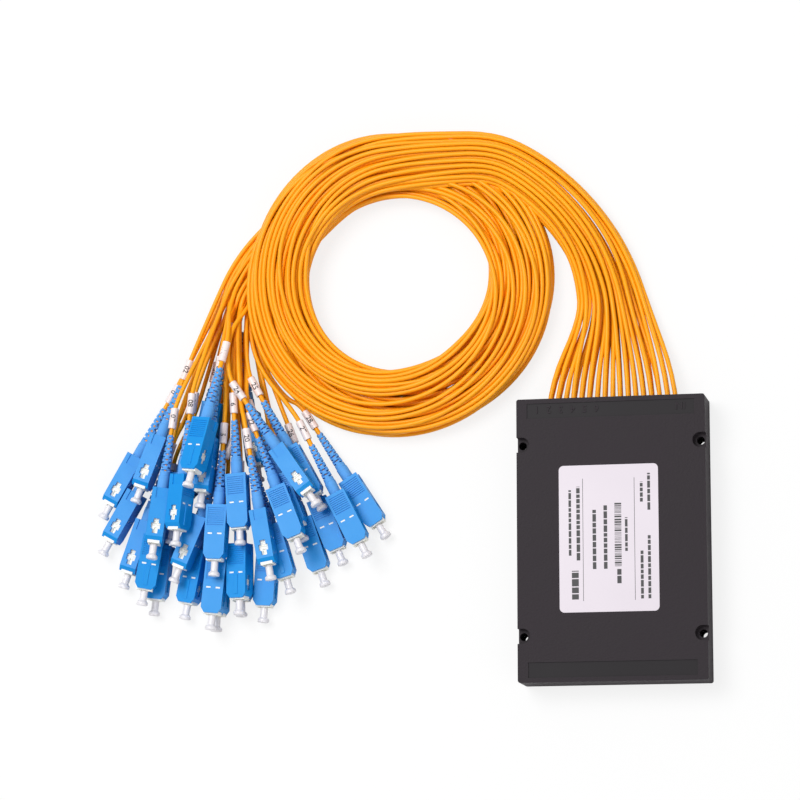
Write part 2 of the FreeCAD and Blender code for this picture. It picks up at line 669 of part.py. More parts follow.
def make_sleeve(doc, name, keyed):
    """Connector sleeve: corners chamfered at the nose, a bore, two windows, perhaps a key bar."""
    body = make_body(doc, name)
    half = "Sizes.sleeve_width / 2"
    outline = [
        (f"-{HALF_SLEEVE}", f"-{half}"),
        (f"{HALF_SLEEVE} - Sizes.nose_length", f"-{half}"),
        (HALF_SLEEVE, f"Sizes.nose_width - {half}"),
        (HALF_SLEEVE, f"{half} - Sizes.nose_width"),
        (f"{HALF_SLEEVE} - Sizes.nose_length", half),
        (f"-{HALF_SLEEVE}", half),
    ]
    plan = polygon_sketch(
        body, f"{name}Plan", "XY_Plane", "-Sizes.sleeve_height / 2", outline
    )
    pad(body, plan, "Sizes.sleeve_height")
    if keyed:
        middle = (f"{HALF_SLEEVE} - Sizes.key_front - Sizes.key_length / 2", "0")
        key = rectangle_sketch(
            body, f"{name}Key", "XY_Plane", "Sizes.sleeve_height / 2",
            "Sizes.key_length", "Sizes.key_width", middle,
        )
        pad(body, key, "Sizes.key_height")
    bore = rectangle_sketch(
        body, f"{name}Bore", "YZ_Plane", HALF_SLEEVE,
        "Sizes.frame_width + 2 * Sizes.sleeve_play", "Sizes.frame_height + 2 * Sizes.sleeve_play",
    )
    pocket(body, bore, "Sizes.sleeve_length")
    window = rectangle_sketch(
        body, f"{name}Window", "XZ_Plane", half, "Sizes.window_length", "Sizes.window_height",
        (f"{HALF_SLEEVE} - Sizes.window_front - Sizes.window_length / 2", "0"),
    )
    pocket(body, window, "Sizes.sleeve_width")
    return body


def make_plug_masters(doc, sheet, kind, sides):
    """One connector in its own frame: nose along +X, origin at the middle of its sleeve."""
    frame = make_block(
        doc, f"{kind}Frame", (f"{FRAME_FRONT} - {FRAME_REAR}", "Sizes.frame_width",
                             "Sizes.frame_height"),
        (FRAME_REAR, "-Sizes.frame_width / 2", "-Sizes.frame_height / 2"),
    )
    front = sheet.sleeve_length / 2 + sheet.frame_proud
    rear = -sheet.sleeve_length / 2
    boot_end = rear - sheet.boot_length
    boot = make_rod(doc, f"{kind}Boot", sides, [
        (rear + sheet.boot_insert, sheet.boot_size),
        (rear - sheet.boot_collar, sheet.boot_size),
        (boot_end, sheet.boot_tip),
    ])
    ferrule_tip = front + sheet.ferrule_reach
    ferrule = make_rod(doc, f"{kind}Ferrule", sides, [
        (front, sheet.ferrule_size),
        (ferrule_tip, sheet.ferrule_size),
    ])
    cap_tip = front + sheet.cap_length
    rim = cap_tip - sheet.cap_head_length
    cap_outside = make_rod(doc, f"{kind}CapOutside", sides, [
        (front, sheet.cap_neck),
        (rim - sheet.cap_flare, sheet.cap_neck),
        (rim, sheet.cap_head),
        (cap_tip, sheet.cap_head),
    ])
    cap_hole = sheet.ferrule_size + 2 * sheet.cap_play
    cap_bore = make_rod(doc, f"{kind}CapBore", sides, [
        (front, cap_hole),
        (ferrule_tip + sheet.cap_play, cap_hole),
    ])
    marker_front = boot_end - sheet.marker_gap
    marker_ends = (marker_front - sheet.marker_length, marker_front)
    marker_hole = sheet.cord_size + 2 * sheet.marker_play
    marker_outside = make_rod(
        doc, f"{kind}MarkerOutside", sides, [(end, sheet.marker_size) for end in marker_ends]
    )
    marker_bore = make_rod(
        doc, f"{kind}MarkerBore", sides, [(end, marker_hole) for end in marker_ends]
    )
    return {
        "sleeve": make_sleeve(doc, f"{kind}Sleeve", sides == MANY_SIDES),
        "frame": frame,
        "boot": boot,
        "ferrule": ferrule,
        "cap": cut(doc, f"{kind}Cap", cap_outside, cap_bore),
        "marker": cut(doc, f"{kind}Marker", marker_outside, marker_bore),
    }


def plug_placement(plug):
    turn = FreeCAD.Rotation(plug.heading, plug.pitch, plug.roll)
    return FreeCAD.Placement(Vector(plug.x, plug.y, plug.z), turn)


def make_placed(doc, label, master, plugs):
    """A master's shape at one connector, or at each of several as separate solids."""
    copies = [
        master.Shape.transformed(plug_placement(plug).toMatrix(), True) for plug in plugs
    ]
    return make_feature(doc, label, Part.Compound(copies))


def make_connectors(doc, input_kit, output_kit):
    """Input connector piece by piece, the outputs' pieces by kind, and a dust cap on each."""
    nodes = [
        ("sleeve", "input_sleeve", "output_sleeves"),
        ("frame", "input_plug_frame", "output_plug_frames"),
        ("ferrule", "input_ferrule", "output_ferrules"),
        ("boot", "input_boot", "output_boots"),
        ("marker", "input_marker", "output_markers"),
    ]
    placed = [make_placed(doc, "dust_cap_in", input_kit["cap"], [INPUT_PLUG])]
    for piece, single, group in nodes:
        placed.append(make_placed(doc, single, input_kit[piece], [INPUT_PLUG]))
        placed.append(make_placed(doc, group, output_kit[piece], OUTPUT_PLUGS))
    for plug in OUTPUT_PLUGS:
        placed.append(make_placed(doc, f"dust_cap_{plug.name}", output_kit["cap"], [plug]))
    return placed


def bundle_frame(bundle, index):
    """Centre of a bundle's section and the directions along it and across it to the right."""
    centre = bundle[index][0]
    before = bundle[max(index - 1, 0)][0]
    after = bundle[min(index + 1, len(bundle) - 1)][0]
    along = (after - before).normalize()
    return centre, along, along.cross(UP)


def shouldered(low, high, height, bevel):
    """Outline of a bundle's section from low to high, standing at zero, with bevelled shoulders."""
    return [
        (low + bevel, 0), (high - bevel, 0), (high, bevel), (high, height - bevel),
        (high - bevel, height), (low + bevel, height), (low, height - bevel), (low, bevel),
    ]


def bundle_section(bundle, index, shoulder):
    centre, _, right = bundle_frame(bundle, index)
    half, height = bundle[index][1] / 2, bundle[index][2]
    outline = shouldered(-half, half, height, min(shoulder, FLATTEST_SHOULDER * height))
    return [centre + right * across + UP * level for across, level in outline]


def make_coil(doc, sheet):
    """Outer shape of the coiled cords, with the bundles that enter and leave it."""
    centre = Vector(sheet.coil_x, sheet.coil_y, 0)
    outline = shouldered(
        sheet.coil_inner, sheet.coil_outer, sheet.coil_height, sheet.coil_shoulder
    )
    turns = [2 * math.pi * index / COIL_SIDES for index in range(COIL_SIDES)]
    spokes = [Vector(math.cos(turn), math.sin(turn), 0) for turn in turns]
    ring = skin(
        [[centre + spoke * radius + UP * level for radius, level in outline] for spoke in spokes],
        ring=True,
    )
    arms = [
        skin([bundle_section(bundle, index, sheet.bundle_shoulder) for index in range(len(bundle))])
        for bundle in (BOX_BUNDLE, PLUG_BUNDLE)
    ]
    return make_feature(doc, "cord_coil", ring.fuse(arms).removeSplitter())


def box_leads(sheet):
    """Routes of the cords from the coil's bundle through the comb to the fan-out block."""
    centre, along, right = bundle_frame(BOX_BUNDLE, 0)
    comb_face = sheet.box_length / 2
    routes = []
    for lane in range(int(sheet.lane_count)):
        place = lane - (sheet.lane_count - 1) / 2
        for row in (0, 1):
            if row == 0 and lane == sheet.lane_count - 1:
                continue
            across = place * sheet.lane_pitch
            level = sheet.seam_height + (row - 0.5) * sheet.row_pitch
            rest = LIFT * sheet.cord_size + row * sheet.bundle_pitch
            route = [
                centre + right * (place * sheet.bundle_pitch) + UP * rest,
                Vector(across, comb_face + BOX_TURN, level),
                Vector(across, comb_face - sheet.fan_standoff, level),
            ]
            routes.append((route, -along))
    return routes


def plug_leads(sheet):
    """Routes of the cords from the coil's bundle to the connectors' boots, the lowest layer first."""
    plugs = sorted([INPUT_PLUG] + OUTPUT_PLUGS, key=lambda one: (one.z, lead_place(one)))
    routes = []
    below = 0
    for count, rows, height in PLUG_LAYERS:
        layer, plugs = sorted(plugs[:count], key=lead_place), plugs[count:]
        columns = math.ceil(count / rows)
        for column in range(columns):
            across = ((columns - 1) / 2 - column) * sheet.bundle_pitch
            stack = sorted(layer[column * rows:(column + 1) * rows], key=first_height)
            for row, plug in enumerate(stack):
                level = (below + row) * sheet.bundle_pitch
                routes.append(plug_route(sheet, plug, across, level, height + row * sheet.bundle_pitch))
        below += rows
    return routes


def first_height(plug):
    """Height that a connector's cord comes to first, from its own points if it has any."""
    return plug.via[0][2] if plug.via else plug.z


def plug_route(sheet, plug, across, level, height):
    """One connector's cord, from its place in the bundle's end by way of its own points."""
    centre, along, right = bundle_frame(PLUG_BUNDLE, len(PLUG_BUNDLE) - 1)
    start = centre + right * across + UP * (LIFT * sheet.cord_size + level)
    boot_end = -sheet.sleeve_length / 2 - sheet.boot_length
    place = plug_placement(plug)
    tail = place.multVec(Vector(boot_end - PLUG_TURN, 0, 0))
    rise = start + (tail - start) * RISE_SHARE
    ways = [Vector(*spot) for spot in plug.via] or [Vector(rise.x, rise.y, height)]
    return [start] + ways + [tail, place.multVec(Vector(boot_end, 0, 0))], along


def lead_place(plug):
    """Connectors in order round the fan, from its left side to its right."""
    tail = plug_placement(plug).multVec(Vector(-TAIL_REACH, 0, 0))
    centre = PLUG_BUNDLE[-1][0]
    return math.atan2(tail.x - centre.x, centre.y - tail.y)


def make_leads(doc, label, routes, size):
    """Single cords, each starting flush with the end face of the coiled ones."""
    tubes = []
    radii = []
    for points, joined in routes:
        solid, turns = tube(points, size, joined)
        tubes.append(solid)
        radii.extend(turns)
    print(label, "turn radii from", round(min(radii), 1), "to", round(max(radii), 1))
    return make_feature(doc, label, Part.Compound(tubes))


def check(doc, exported):
    """Stops on any object that failed to compute and on any shape that isn't sound."""
    for item in doc.Objects:
        if "Invalid" in item.State or "Error" in item.State:
            raise RuntimeError(f"{item.Label} did not compute: {item.State}")
    for item in exported:
        if item.Shape.isNull() or not item.Shape.isValid():
            raise RuntimeError(f"{item.Label} is not a sound shape")


def main():
    doc = FreeCAD.newDocument("FibreSplitter")
    sheet = make_sheet(doc)
    exported = [make_box_base(doc), make_box_lid(doc), make_label(doc), make_comb(doc)]
    exported += make_module(doc) + make_fan_out(doc)
    exported.append(make_input_fibre(doc, sheet))
    input_kit = make_plug_masters(doc, sheet, "Input", MANY_SIDES)
    output_kit = make_plug_masters(doc, sheet, "Output", FEW_SIDES)
    doc.recompute()
    exported += make_connectors(doc, input_kit, output_kit)
    exported.append(make_coil(doc, sheet))
    routes = box_leads(sheet) + plug_leads(sheet)
    exported.append(make_leads(doc, "cord_leads", routes, sheet.cord_size))
    doc.recompute()
    check(doc, exported)
    os.makedirs("parts", exist_ok=True)
    for item in exported:
        item.Shape.exportStep(f"parts/{item.Label}.step")
    print(len(exported), "nodes")


main()
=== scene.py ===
"""Looks of a boxed fibre splitter: its cords, connectors, housing and label.

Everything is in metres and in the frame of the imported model.
"""

import logging
import math
import random
from dataclasses import dataclass, field
from enum import Enum

import bmesh
import bpy
import numpy as np
from mathutils import Matrix, Vector


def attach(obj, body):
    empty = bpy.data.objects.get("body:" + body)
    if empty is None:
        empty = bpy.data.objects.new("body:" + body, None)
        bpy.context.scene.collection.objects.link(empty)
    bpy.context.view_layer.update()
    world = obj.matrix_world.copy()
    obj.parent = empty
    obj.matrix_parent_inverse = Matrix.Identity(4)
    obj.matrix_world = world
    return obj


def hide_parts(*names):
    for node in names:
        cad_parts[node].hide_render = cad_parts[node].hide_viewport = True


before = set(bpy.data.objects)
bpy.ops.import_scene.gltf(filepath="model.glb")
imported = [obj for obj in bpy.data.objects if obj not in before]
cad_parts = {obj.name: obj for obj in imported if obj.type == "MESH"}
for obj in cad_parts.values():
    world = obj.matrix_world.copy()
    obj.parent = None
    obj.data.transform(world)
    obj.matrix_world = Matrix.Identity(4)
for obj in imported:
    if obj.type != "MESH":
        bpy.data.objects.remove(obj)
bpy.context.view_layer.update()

LOG = logging.getLogger("splitter")
MM = 0.001
UP = Vector((0, 0, 1))
ROOT = "splitter"
PAST = 1.0  # how far a cutter runs past what it cuts, in millimetres


def put(name: str, data: bpy.types.ID) -> bpy.types.Object:
    """Puts a mesh, curve, lamp or camera into the scene.

    Args:
        name: the new object's name.
        data: what it holds.

    Returns:
        The object.
    """
    made = bpy.data.objects.new(name, data)
    bpy.context.scene.collection.objects.link(made)
    return made


def evaluated(piece: bpy.types.Object) -> bpy.types.Mesh:
    """Makes a mesh of an object as its modifiers or its curve leave it.

    Args:
        piece: the object.

    Returns:
        The new mesh.
    """
    graph = bpy.context.evaluated_depsgraph_get()
    graph.update()
    return bpy.data.meshes.new_from_object(piece.evaluated_get(graph))


def span(side: int, near: float, far: float) -> list[float]:
    """Low and high end of a stretch between two distances on one side of the middle."""
    return sorted((side * near, side * far))


# ---------------------------------------------------------------- shader groups and finishes


class Group(Enum):
    """Shader groups that several finishes share."""

    GRAIN = "moulded_grain"
    MOTTLE = "colour_mottle"
    SCUFFS = "light_scuffs"


def add_node(tree: bpy.types.NodeTree, kind: str, **settings: str) -> bpy.types.Node:
    """Adds a node.

    Args:
        tree: the node tree that gets it.
        kind: the node's type, without ShaderNode in front.
        settings: its properties by name.

    Returns:
        The node.
    """
    made = tree.nodes.new(f"ShaderNode{kind}")
    for name, value in settings.items():
        setattr(made, name, value)
    return made


def wire(tree: bpy.types.NodeTree, *links: tuple) -> None:
    """Links nodes.

    Args:
        tree: their node tree.
        links: each link's source node, output, target node and input.
    """
    for source, output, target, entry in links:
        tree.links.new(source.outputs[output], target.inputs[entry])


def noise(tree: bpy.types.NodeTree, detail: float, rough: float) -> bpy.types.Node:
    """Adds a noise texture, whose scale is linked later.

    Args:
        tree: the node tree that gets it.
        detail: octaves.
        rough: weight of the finer octaves.

    Returns:
        The noise node.
    """
    made = add_node(tree, "TexNoise")
    made.inputs["Detail"].default_value = detail
    made.inputs["Roughness"].default_value = rough
    return made


@dataclass
class ShaderGroups:
    """Builds each shared shader group once."""

    made: dict = field(default_factory=dict)

    def get(self, which: Group) -> bpy.types.NodeTree:
        """Returns a group's tree, and builds it the first time.

        Args:
            which: the group that is asked for.

        Returns:
            The group's node tree.
        """
        if which not in self.made:
            builders = {
                Group.GRAIN: self.build_grain,
                Group.MOTTLE: self.build_mottle,
                Group.SCUFFS: self.build_scuffs,
            }
            self.made[which] = builders[which]()
        return self.made[which]

    def begin(self, which: Group, inputs: dict, outputs: dict) -> tuple:
        """Starts a group with its sockets.

        Args:
            which: the group that is built.
            inputs: default of each input by its name, or None for a colour.
            outputs: kind of each output by its name, Float or Color.

        Returns:
            The tree, its input node, its output node and a node of object coordinates.
        """
        tree = bpy.data.node_groups.new(which.value, "ShaderNodeTree")
        for name, value in inputs.items():
            kind = "Color" if value is None else "Float"
            made = tree.interface.new_socket(
                name=name, in_out="INPUT", socket_type=f"NodeSocket{kind}"
            )
            if value is not None:
                made.default_value = value
        for name, kind in outputs.items():
            tree.interface.new_socket(name=name, in_out="OUTPUT", socket_type=f"NodeSocket{kind}")
        given, out = tree.nodes.new("NodeGroupInput"), tree.nodes.new("NodeGroupOutput")
        return tree, given, out, add_node(tree, "TexCoord")

    def build_grain(self) -> bpy.types.NodeTree:
        """Fine pebbled grain of moulded plastic, as a height.

        Returns:
            The group's node tree.
        """
        inputs = {"Scale": 2500.0, "Depth": 1.0}
        tree, given, out, place = self.begin(Group.GRAIN, inputs, {"Height": "Float"})
        pebbles = noise(tree, 2, 0.6)
        amount = add_node(tree, "Math", operation="MULTIPLY")
        wire(
            tree,
            (place, "Object", pebbles, "Vector"), (given, "Scale", pebbles, "Scale"),
            (pebbles, "Fac", amount, 0), (given, "Depth", amount, 1),
            (amount, 0, out, "Height"),
        )
        return tree

    def build_mottle(self) -> bpy.types.NodeTree:
        """Slow drift between two near colours, and a roughness that drifts with it.

        Returns:
            The group's node tree.
        """
        inputs = {"Light": None, "Dark": None, "Scale": 60.0, "Smooth": 0.3, "Dull": 0.5}
        outputs = {"Color": "Color", "Roughness": "Float"}
        tree, given, out, place = self.begin(Group.MOTTLE, inputs, outputs)
        drift = noise(tree, 3, 0.5)
        colours = add_node(tree, "Mix", data_type="RGBA")
        sheen = add_node(tree, "MapRange")
        wire(
            tree,
            (place, "Object", drift, "Vector"), (given, "Scale", drift, "Scale"),
            (drift, "Fac", colours, "Factor"), (given, "Light", colours, "A"),
            (given, "Dark", colours, "B"), (drift, "Fac", sheen, "Value"),
            (given, "Smooth", sheen, "To Min"), (given, "Dull", sheen, "To Max"),
            (colours, "Result", out, "Color"), (sheen, "Result", out, "Roughness"),
        )
        return tree

    def build_scuffs(self) -> bpy.types.NodeTree:
        """Sparse pale rubs and fine scratches, as a mask.

        Returns:
            The group's node tree.
        """
        inputs = {"Scale": 90.0, "Amount": 0.5}
        tree, given, out, place = self.begin(Group.SCUFFS, inputs, {"Mask": "Float"})
        stretch = add_node(tree, "Mapping")
        stretch.inputs["Scale"].default_value = (1.0, 6.0, 1.0)
        stretch.inputs["Rotation"].default_value = (0.0, 0.0, 0.7)
        streaks = noise(tree, 6, 0.75)
        sparse = add_node(tree, "MapRange")
        sparse.inputs["From Min"].default_value = 0.66
        sparse.inputs["From Max"].default_value = 0.78
        wire(
            tree,
            (place, "Object", stretch, "Vector"), (stretch, "Vector", streaks, "Vector"),
            (given, "Scale", streaks, "Scale"), (streaks, "Fac", sparse, "Value"),
            (given, "Amount", sparse, "To Max"), (sparse, "Result", out, "Mask"),
        )
        return tree


GROUPS = ShaderGroups()


@dataclass(frozen=True)
class Plastic:
    """A moulded or drawn plastic, with a drifting tint, a grain and perhaps scuffs.

    Colours are linear.
    """

    name: str
    light: tuple
    dark: tuple
    smooth: float = 0.3
    dull: float = 0.45
    drift_scale: float = 60.0
    grain_scale: float = 2500.0
    grain_depth: float = 0.3
    scuff_amount: float = 0.0
    scuff_scale: float = 90.0
    scuff_tint: tuple = (0.2, 0.2, 0.2)
    coat: float = 0.0
    transmission: float = 0.0
    specular: float = 0.5

    def group(self, tree: bpy.types.NodeTree, which: Group, **values: float) -> bpy.types.Node:
        """Places a shared group with its values.

        Args:
            tree: the material's node tree.
            which: the group.
            values: input values by socket name.

        Returns:
            The group's node in this material.
        """
        node = add_node(tree, "Group")
        node.node_tree = GROUPS.get(which)
        for name, value in values.items():
            node.inputs[name].default_value = value
        return node

    def material(self) -> bpy.types.Material:
        """Builds the material, or returns the one built before.

        Returns:
            The material.
        """
        found = bpy.data.materials.get(self.name)
        if found is not None:
            return found
        made = bpy.data.materials.new(self.name)
        made.use_nodes = True
        tree = made.node_tree
        shader = tree.nodes["Principled BSDF"]
        mottle = self.group(
            tree, Group.MOTTLE, Light=(*self.light, 1), Dark=(*self.dark, 1),
            Scale=self.drift_scale, Smooth=self.smooth, Dull=self.dull,
        )
        colour = (mottle, "Color")
        if self.scuff_amount > 0:
            scuffs = self.group(
                tree, Group.SCUFFS, Scale=self.scuff_scale, Amount=self.scuff_amount
            )
            rubbed = add_node(tree, "Mix", data_type="RGBA")
            rubbed.inputs["B"].default_value = (*self.scuff_tint, 1)
            wire(tree, (scuffs, "Mask", rubbed, "Factor"), (*colour, rubbed, "A"))
            colour = (rubbed, "Result")
        grain = self.group(tree, Group.GRAIN, Scale=self.grain_scale, Depth=self.grain_depth)
        bump = add_node(tree, "Bump")
        wire(
            tree,
            (*colour, shader, "Base Color"), (mottle, "Roughness", shader, "Roughness"),
            (grain, "Height", bump, "Height"), (bump, "Normal", shader, "Normal"),
        )
        bump.inputs["Strength"].default_value = 0.35
        bump.inputs["Distance"].default_value = 0.0001
        shader.inputs["Specular IOR Level"].default_value = self.specular
        shader.inputs["Coat Weight"].default_value = self.coat
        shader.inputs["Coat Roughness"].default_value = 0.2
        shader.inputs["Transmission Weight"].default_value = self.transmission
        return made


def paint(mesh: bpy.types.ID, finish: Plastic) -> None:
    """Gives a mesh or curve one finish in place of any that it has."""
    mesh.materials.clear()
    mesh.materials.append(finish.material())


SHELL = Plastic(
    "black_shell", (0.017, 0.013, 0.016), (0.028, 0.022, 0.027), 0.5, 0.66, 45, 1300, 5.0,
    scuff_amount=0.14, scuff_scale=25, scuff_tint=(0.07, 0.066, 0.062), specular=0.16,
)
SHELL_SMOOTH = Plastic(
    "black_shell_smooth", (0.01, 0.008, 0.01), (0.014, 0.012, 0.014), 0.42, 0.52, 60, 2500, 0.4,
    specular=0.14,
)
JACKET = Plastic(
    "cord_jacket", (1.0, 0.43, 0.008), (0.95, 0.34, 0.004), 0.3, 0.42, 30, 1500, 0.15, coat=0.03,
    specular=0.22,
)
SLEEVE_BLUE = Plastic(
    "sleeve_blue", (0.006, 0.285, 0.74), (0.005, 0.25, 0.68), 0.3, 0.42, 90, 3000, 0.3,
    scuff_amount=0.1, scuff_scale=200, scuff_tint=(0.08, 0.4, 0.85), specular=0.22,
)
BOOT_BLUE = Plastic(
    "boot_blue", (0.006, 0.25, 0.66), (0.005, 0.2, 0.58), 0.38, 0.52, 120, 3500, 0.4, specular=0.2
)
CREAM = Plastic("frame_cream", (0.87, 0.86, 0.76), (0.82, 0.8, 0.68), 0.3, 0.45, 100, 3000, 0.2)
CERAMIC = Plastic(
    "ferrule_ceramic", (0.9, 0.9, 0.88), (0.85, 0.85, 0.83), 0.1, 0.16, 80, 4000, 0.05
)
CAP_CLEAR = Plastic(
    "cap_clouded", (0.93, 0.91, 0.94), (0.88, 0.86, 0.9), 0.24, 0.34, 60, 3000, 0.1,
    transmission=0.18,
)
TUBE_WHITE = Plastic("number_sleeve", (0.9, 0.8, 0.78), (0.84, 0.72, 0.7), 0.3, 0.4, 90, 3000, 0.1)
INK = Plastic("print_ink", (0.02, 0.02, 0.022), (0.03, 0.03, 0.032), 0.5, 0.6)
PAPER = Plastic("label_paper", (0.69, 0.63, 0.69), (0.66, 0.6, 0.66), 0.35, 0.5, 25, 1800, 0.2)
STEEL = Plastic("tube_steel", (0.5, 0.5, 0.52), (0.42, 0.42, 0.44), 0.25, 0.35)
FILLER = Plastic("cured_adhesive", (0.7, 0.66, 0.55), (0.62, 0.58, 0.48), 0.35, 0.5)
GLASS = Plastic("block_glass", (0.85, 0.9, 0.92), (0.8, 0.86, 0.9), 0.05, 0.1, transmission=0.8)
FIBRE = Plastic("coated_fibre", (0.85, 0.85, 0.75), (0.8, 0.8, 0.7), 0.25, 0.35)


# ---------------------------------------------------------------- cords


@dataclass(frozen=True)
class Lie:
    """How one connector lies: where its sleeve's middle is and which way its nose points."""

    name: str
    place: tuple
    heading: float
    pitch: float
    roll: float
    via: tuple = ()

    @property
    def matrix(self) -> Matrix:
        """Frame of the connector, with its nose along X and its key bar towards Z.

        Returns:
            The matrix, in metres.
        """
        turned = (
            Matrix.Rotation(math.radians(self.heading), 4, "Z")
            @ Matrix.Rotation(math.radians(self.pitch), 4, "Y")
            @ Matrix.Rotation(math.radians(self.roll), 4, "X")
        )
        return Matrix.Translation(Vector(self.place) * MM) @ turned

    def along(self, reach: float) -> Vector:
        """Point on the connector's axis, in metres, reach metres ahead of its middle."""
        return self.matrix @ Vector((reach, 0, 0))


INPUT_LIE = Lie("in", (-175.3, 42.8, 30.6), -102, -10, 20)
OUTPUT_LIES = [
    Lie("01", (-215.7, 32.6, 4.6), -120, 0, 90),
    Lie("02", (-201.1, 38.8, 13.8), -110, -4, 90),
    Lie("03", (-215.6, 16.6, 4.6), -120, 0, 90),
    Lie("04", (-209.3, 3.2, 4.6), -109, 0, 90, ((-174, 100, 3.4), (-188, 57, 7.4))),
    Lie("05", (-201.5, -4.6, 12.6), -100, 0, -12, ((-175, 99, 7.2), (-187, 66, 12.6))),
    Lie("06", (-199.5, -8.0, 3.8), -97, 0, 180, ((-174, 98, 1.4), (-184, 60, 4))),
    Lie("07", (-195.2, 14.0, 22.4), -97, -5, 80),
    Lie("08", (-185.2, 19.5, 23.6), -95, -3, -70),
    Lie("09", (-189.5, 22.0, 12.2), -99, 0, 0),
    Lie("10", (-174.8, 35.9, 20.7), -97, -2, 90),
    Lie("11", (-183.1, 3.7, 14.0), -113, 0, 90, ((-165.8, 92, 8.3), (-166.4, 70, 11.4))),
    Lie("12", (-184.2, -10.2, 4.6), -101, 0, 12, ((-169, 97, 4.2), (-171.3, 80, 5.4))),
    Lie("13", (-172.5, -15.5, 11.4), -96, 0, 180, ((-168, 96, 7.2), (-168, 50, 9.6))),
    Lie("14", (-173.2, -15.4, 3.8), -92, 0, 180, ((-168.5, 97, 1.5), (-170.2, 84, 2))),
    Lie("15", (-170.0, 6.6, 19.4), -93, -2, 180, ((-167.4, 100, 15.6), (-167.3, 68, 16.3))),
    Lie("16", (-160.5, 19.7, 19.8), -86, -3, 180),
    Lie("17", (-161.6, -9.3, 12.2), -90, 0, 12, ((-164.6, 90, 10.8), (-163.5, 58, 10.4))),
    Lie("18", (-163.0, -9.2, 3.8), -89, 0, 180, ((-167.4, 94, 3.5),)),
    Lie("19", (-151.8, -11.9, 3.8), -94, 0, 180),
    Lie("20", (-148.9, 4.0, 20.8), -80, 0, 90, ((-163.2, 97, 15.6), (-160.6, 63, 17.2))),
    Lie("21", (-144.6, -1.3, 11.6), -73, 0, 0, ((-163.6, 97, 8.4), (-161.5, 62, 11))),
    Lie("22", (-139.3, 14.3, 20.0), -68, -4, 180),
    Lie("23", (-131.9, 2.3, 3.8), -71, 0, 180),
    Lie("24", (-136.0, 32.2, 22.4), -55, -2, 90, ((-165.6, 94, 19.2),)),
    Lie("25", (-134.4, 32.9, 11.8), -61, 0, 0),
    Lie("26", (-124.9, 10.9, 3.8), -68, 0, 180, ((-159.6, 98, 1.4), (-152, 78, 1.8))),
    Lie("27", (-114.2, 12.4, 11.6), -63, 0, 180, ((-159.6, 99, 7.4), (-155.5, 80, 8.4))),
    Lie(
        "28", (-109.3, 20.5, 3.8), -57, 0, 180,
        ((-159.8, 100, 5.3), (-153.5, 80, 5.4), (-143.5, 66, 3.6)),
    ),
    Lie("29", (-157.8, 49.0, 4.6), -82, 0, 90),
    Lie("30", (-185.2, 37.0, 3.8), -103, 0, 0),
    Lie("31", (-140.5, 20.5, 11.8), -68, 0, 0, ((-161.8, 97, 7), (-160.6, 77, 7.8))),
    Lie("32", (-175.9, 52.5, 12.0), -101, 0, 0, ((-167.2, 105.6, 8.9),)),
]


# ---------------------------------------------------------------- meshes


@dataclass
class Form:
    """A mesh in the making, in millimetres."""

    mesh: bmesh.types.BMesh = field(default_factory=bmesh.new)

    def block(self, low: tuple, high: tuple) -> "Form":
        """Adds a box.

        Args:
            low: its lowest corner.
            high: its highest corner.

        Returns:
            This form.
        """
        size = Vector(high) - Vector(low)
        middle = (Vector(high) + Vector(low)) / 2
        place = Matrix.Translation(middle) @ Matrix.Diagonal((*size, 1))
        bmesh.ops.create_cube(self.mesh, size=1, matrix=place)
        return self

    def prism(self, outline: list[tuple], low: float, high: float) -> "Form":
        """Adds an outline in X and Y, raised from one level to another.

        Args:
            outline: its corners, turning left.
            low: the lower level.
            high: the upper level.

        Returns:
            This form.
        """
        bottom = [self.mesh.verts.new((x, y, low)) for x, y in outline]
        top = [self.mesh.verts.new((x, y, high)) for x, y in outline]
        self.mesh.faces.new(bottom[::-1])
        self.mesh.faces.new(top)
        for index, corner in enumerate(bottom):
            after = (index + 1) % len(bottom)
            self.mesh.faces.new((corner, bottom[after], top[after], top[index]))
        return self

    def lathe(self, profile: list[tuple], sides: int, closed: bool = False) -> "Form":
        """Turns a profile about the X axis.

        Args:
            profile: pairs of place along X and radius.
            sides: steps round the axis.
            closed: whether the profile closes on itself, as a tube's does.

        Returns:
            This form.
        """
        rings = []
        for along, radius in profile:
            ring = []
            for index in range(sides):
                turn = 2 * math.pi * index / sides
                spot = (along, radius * math.sin(turn), radius * math.cos(turn))
                ring.append(self.mesh.verts.new(spot))
            rings.append(ring)
        pairs = list(zip(rings, rings[1:]))
        if closed:
            pairs.append((rings[-1], rings[0]))
        for near, far in pairs:
            for index in range(sides):
                after = (index + 1) % sides
                self.mesh.faces.new((near[index], near[after], far[after], far[index]))
        if not closed:
            self.mesh.faces.new(rings[0][::-1])
            self.mesh.faces.new(rings[-1])
        bmesh.ops.recalc_face_normals(self.mesh, faces=self.mesh.faces)
        return self

    def data(self, name: str) -> bpy.types.Mesh:
        """Turns the form into a mesh in metres.

        Args:
            name: the mesh's name.

        Returns:
            The mesh.
        """
        made = bpy.data.meshes.new(name)
        bmesh.ops.scale(self.mesh, vec=(MM, MM, MM), verts=self.mesh.verts)
        self.mesh.to_mesh(made)
        self.mesh.free()
        return made


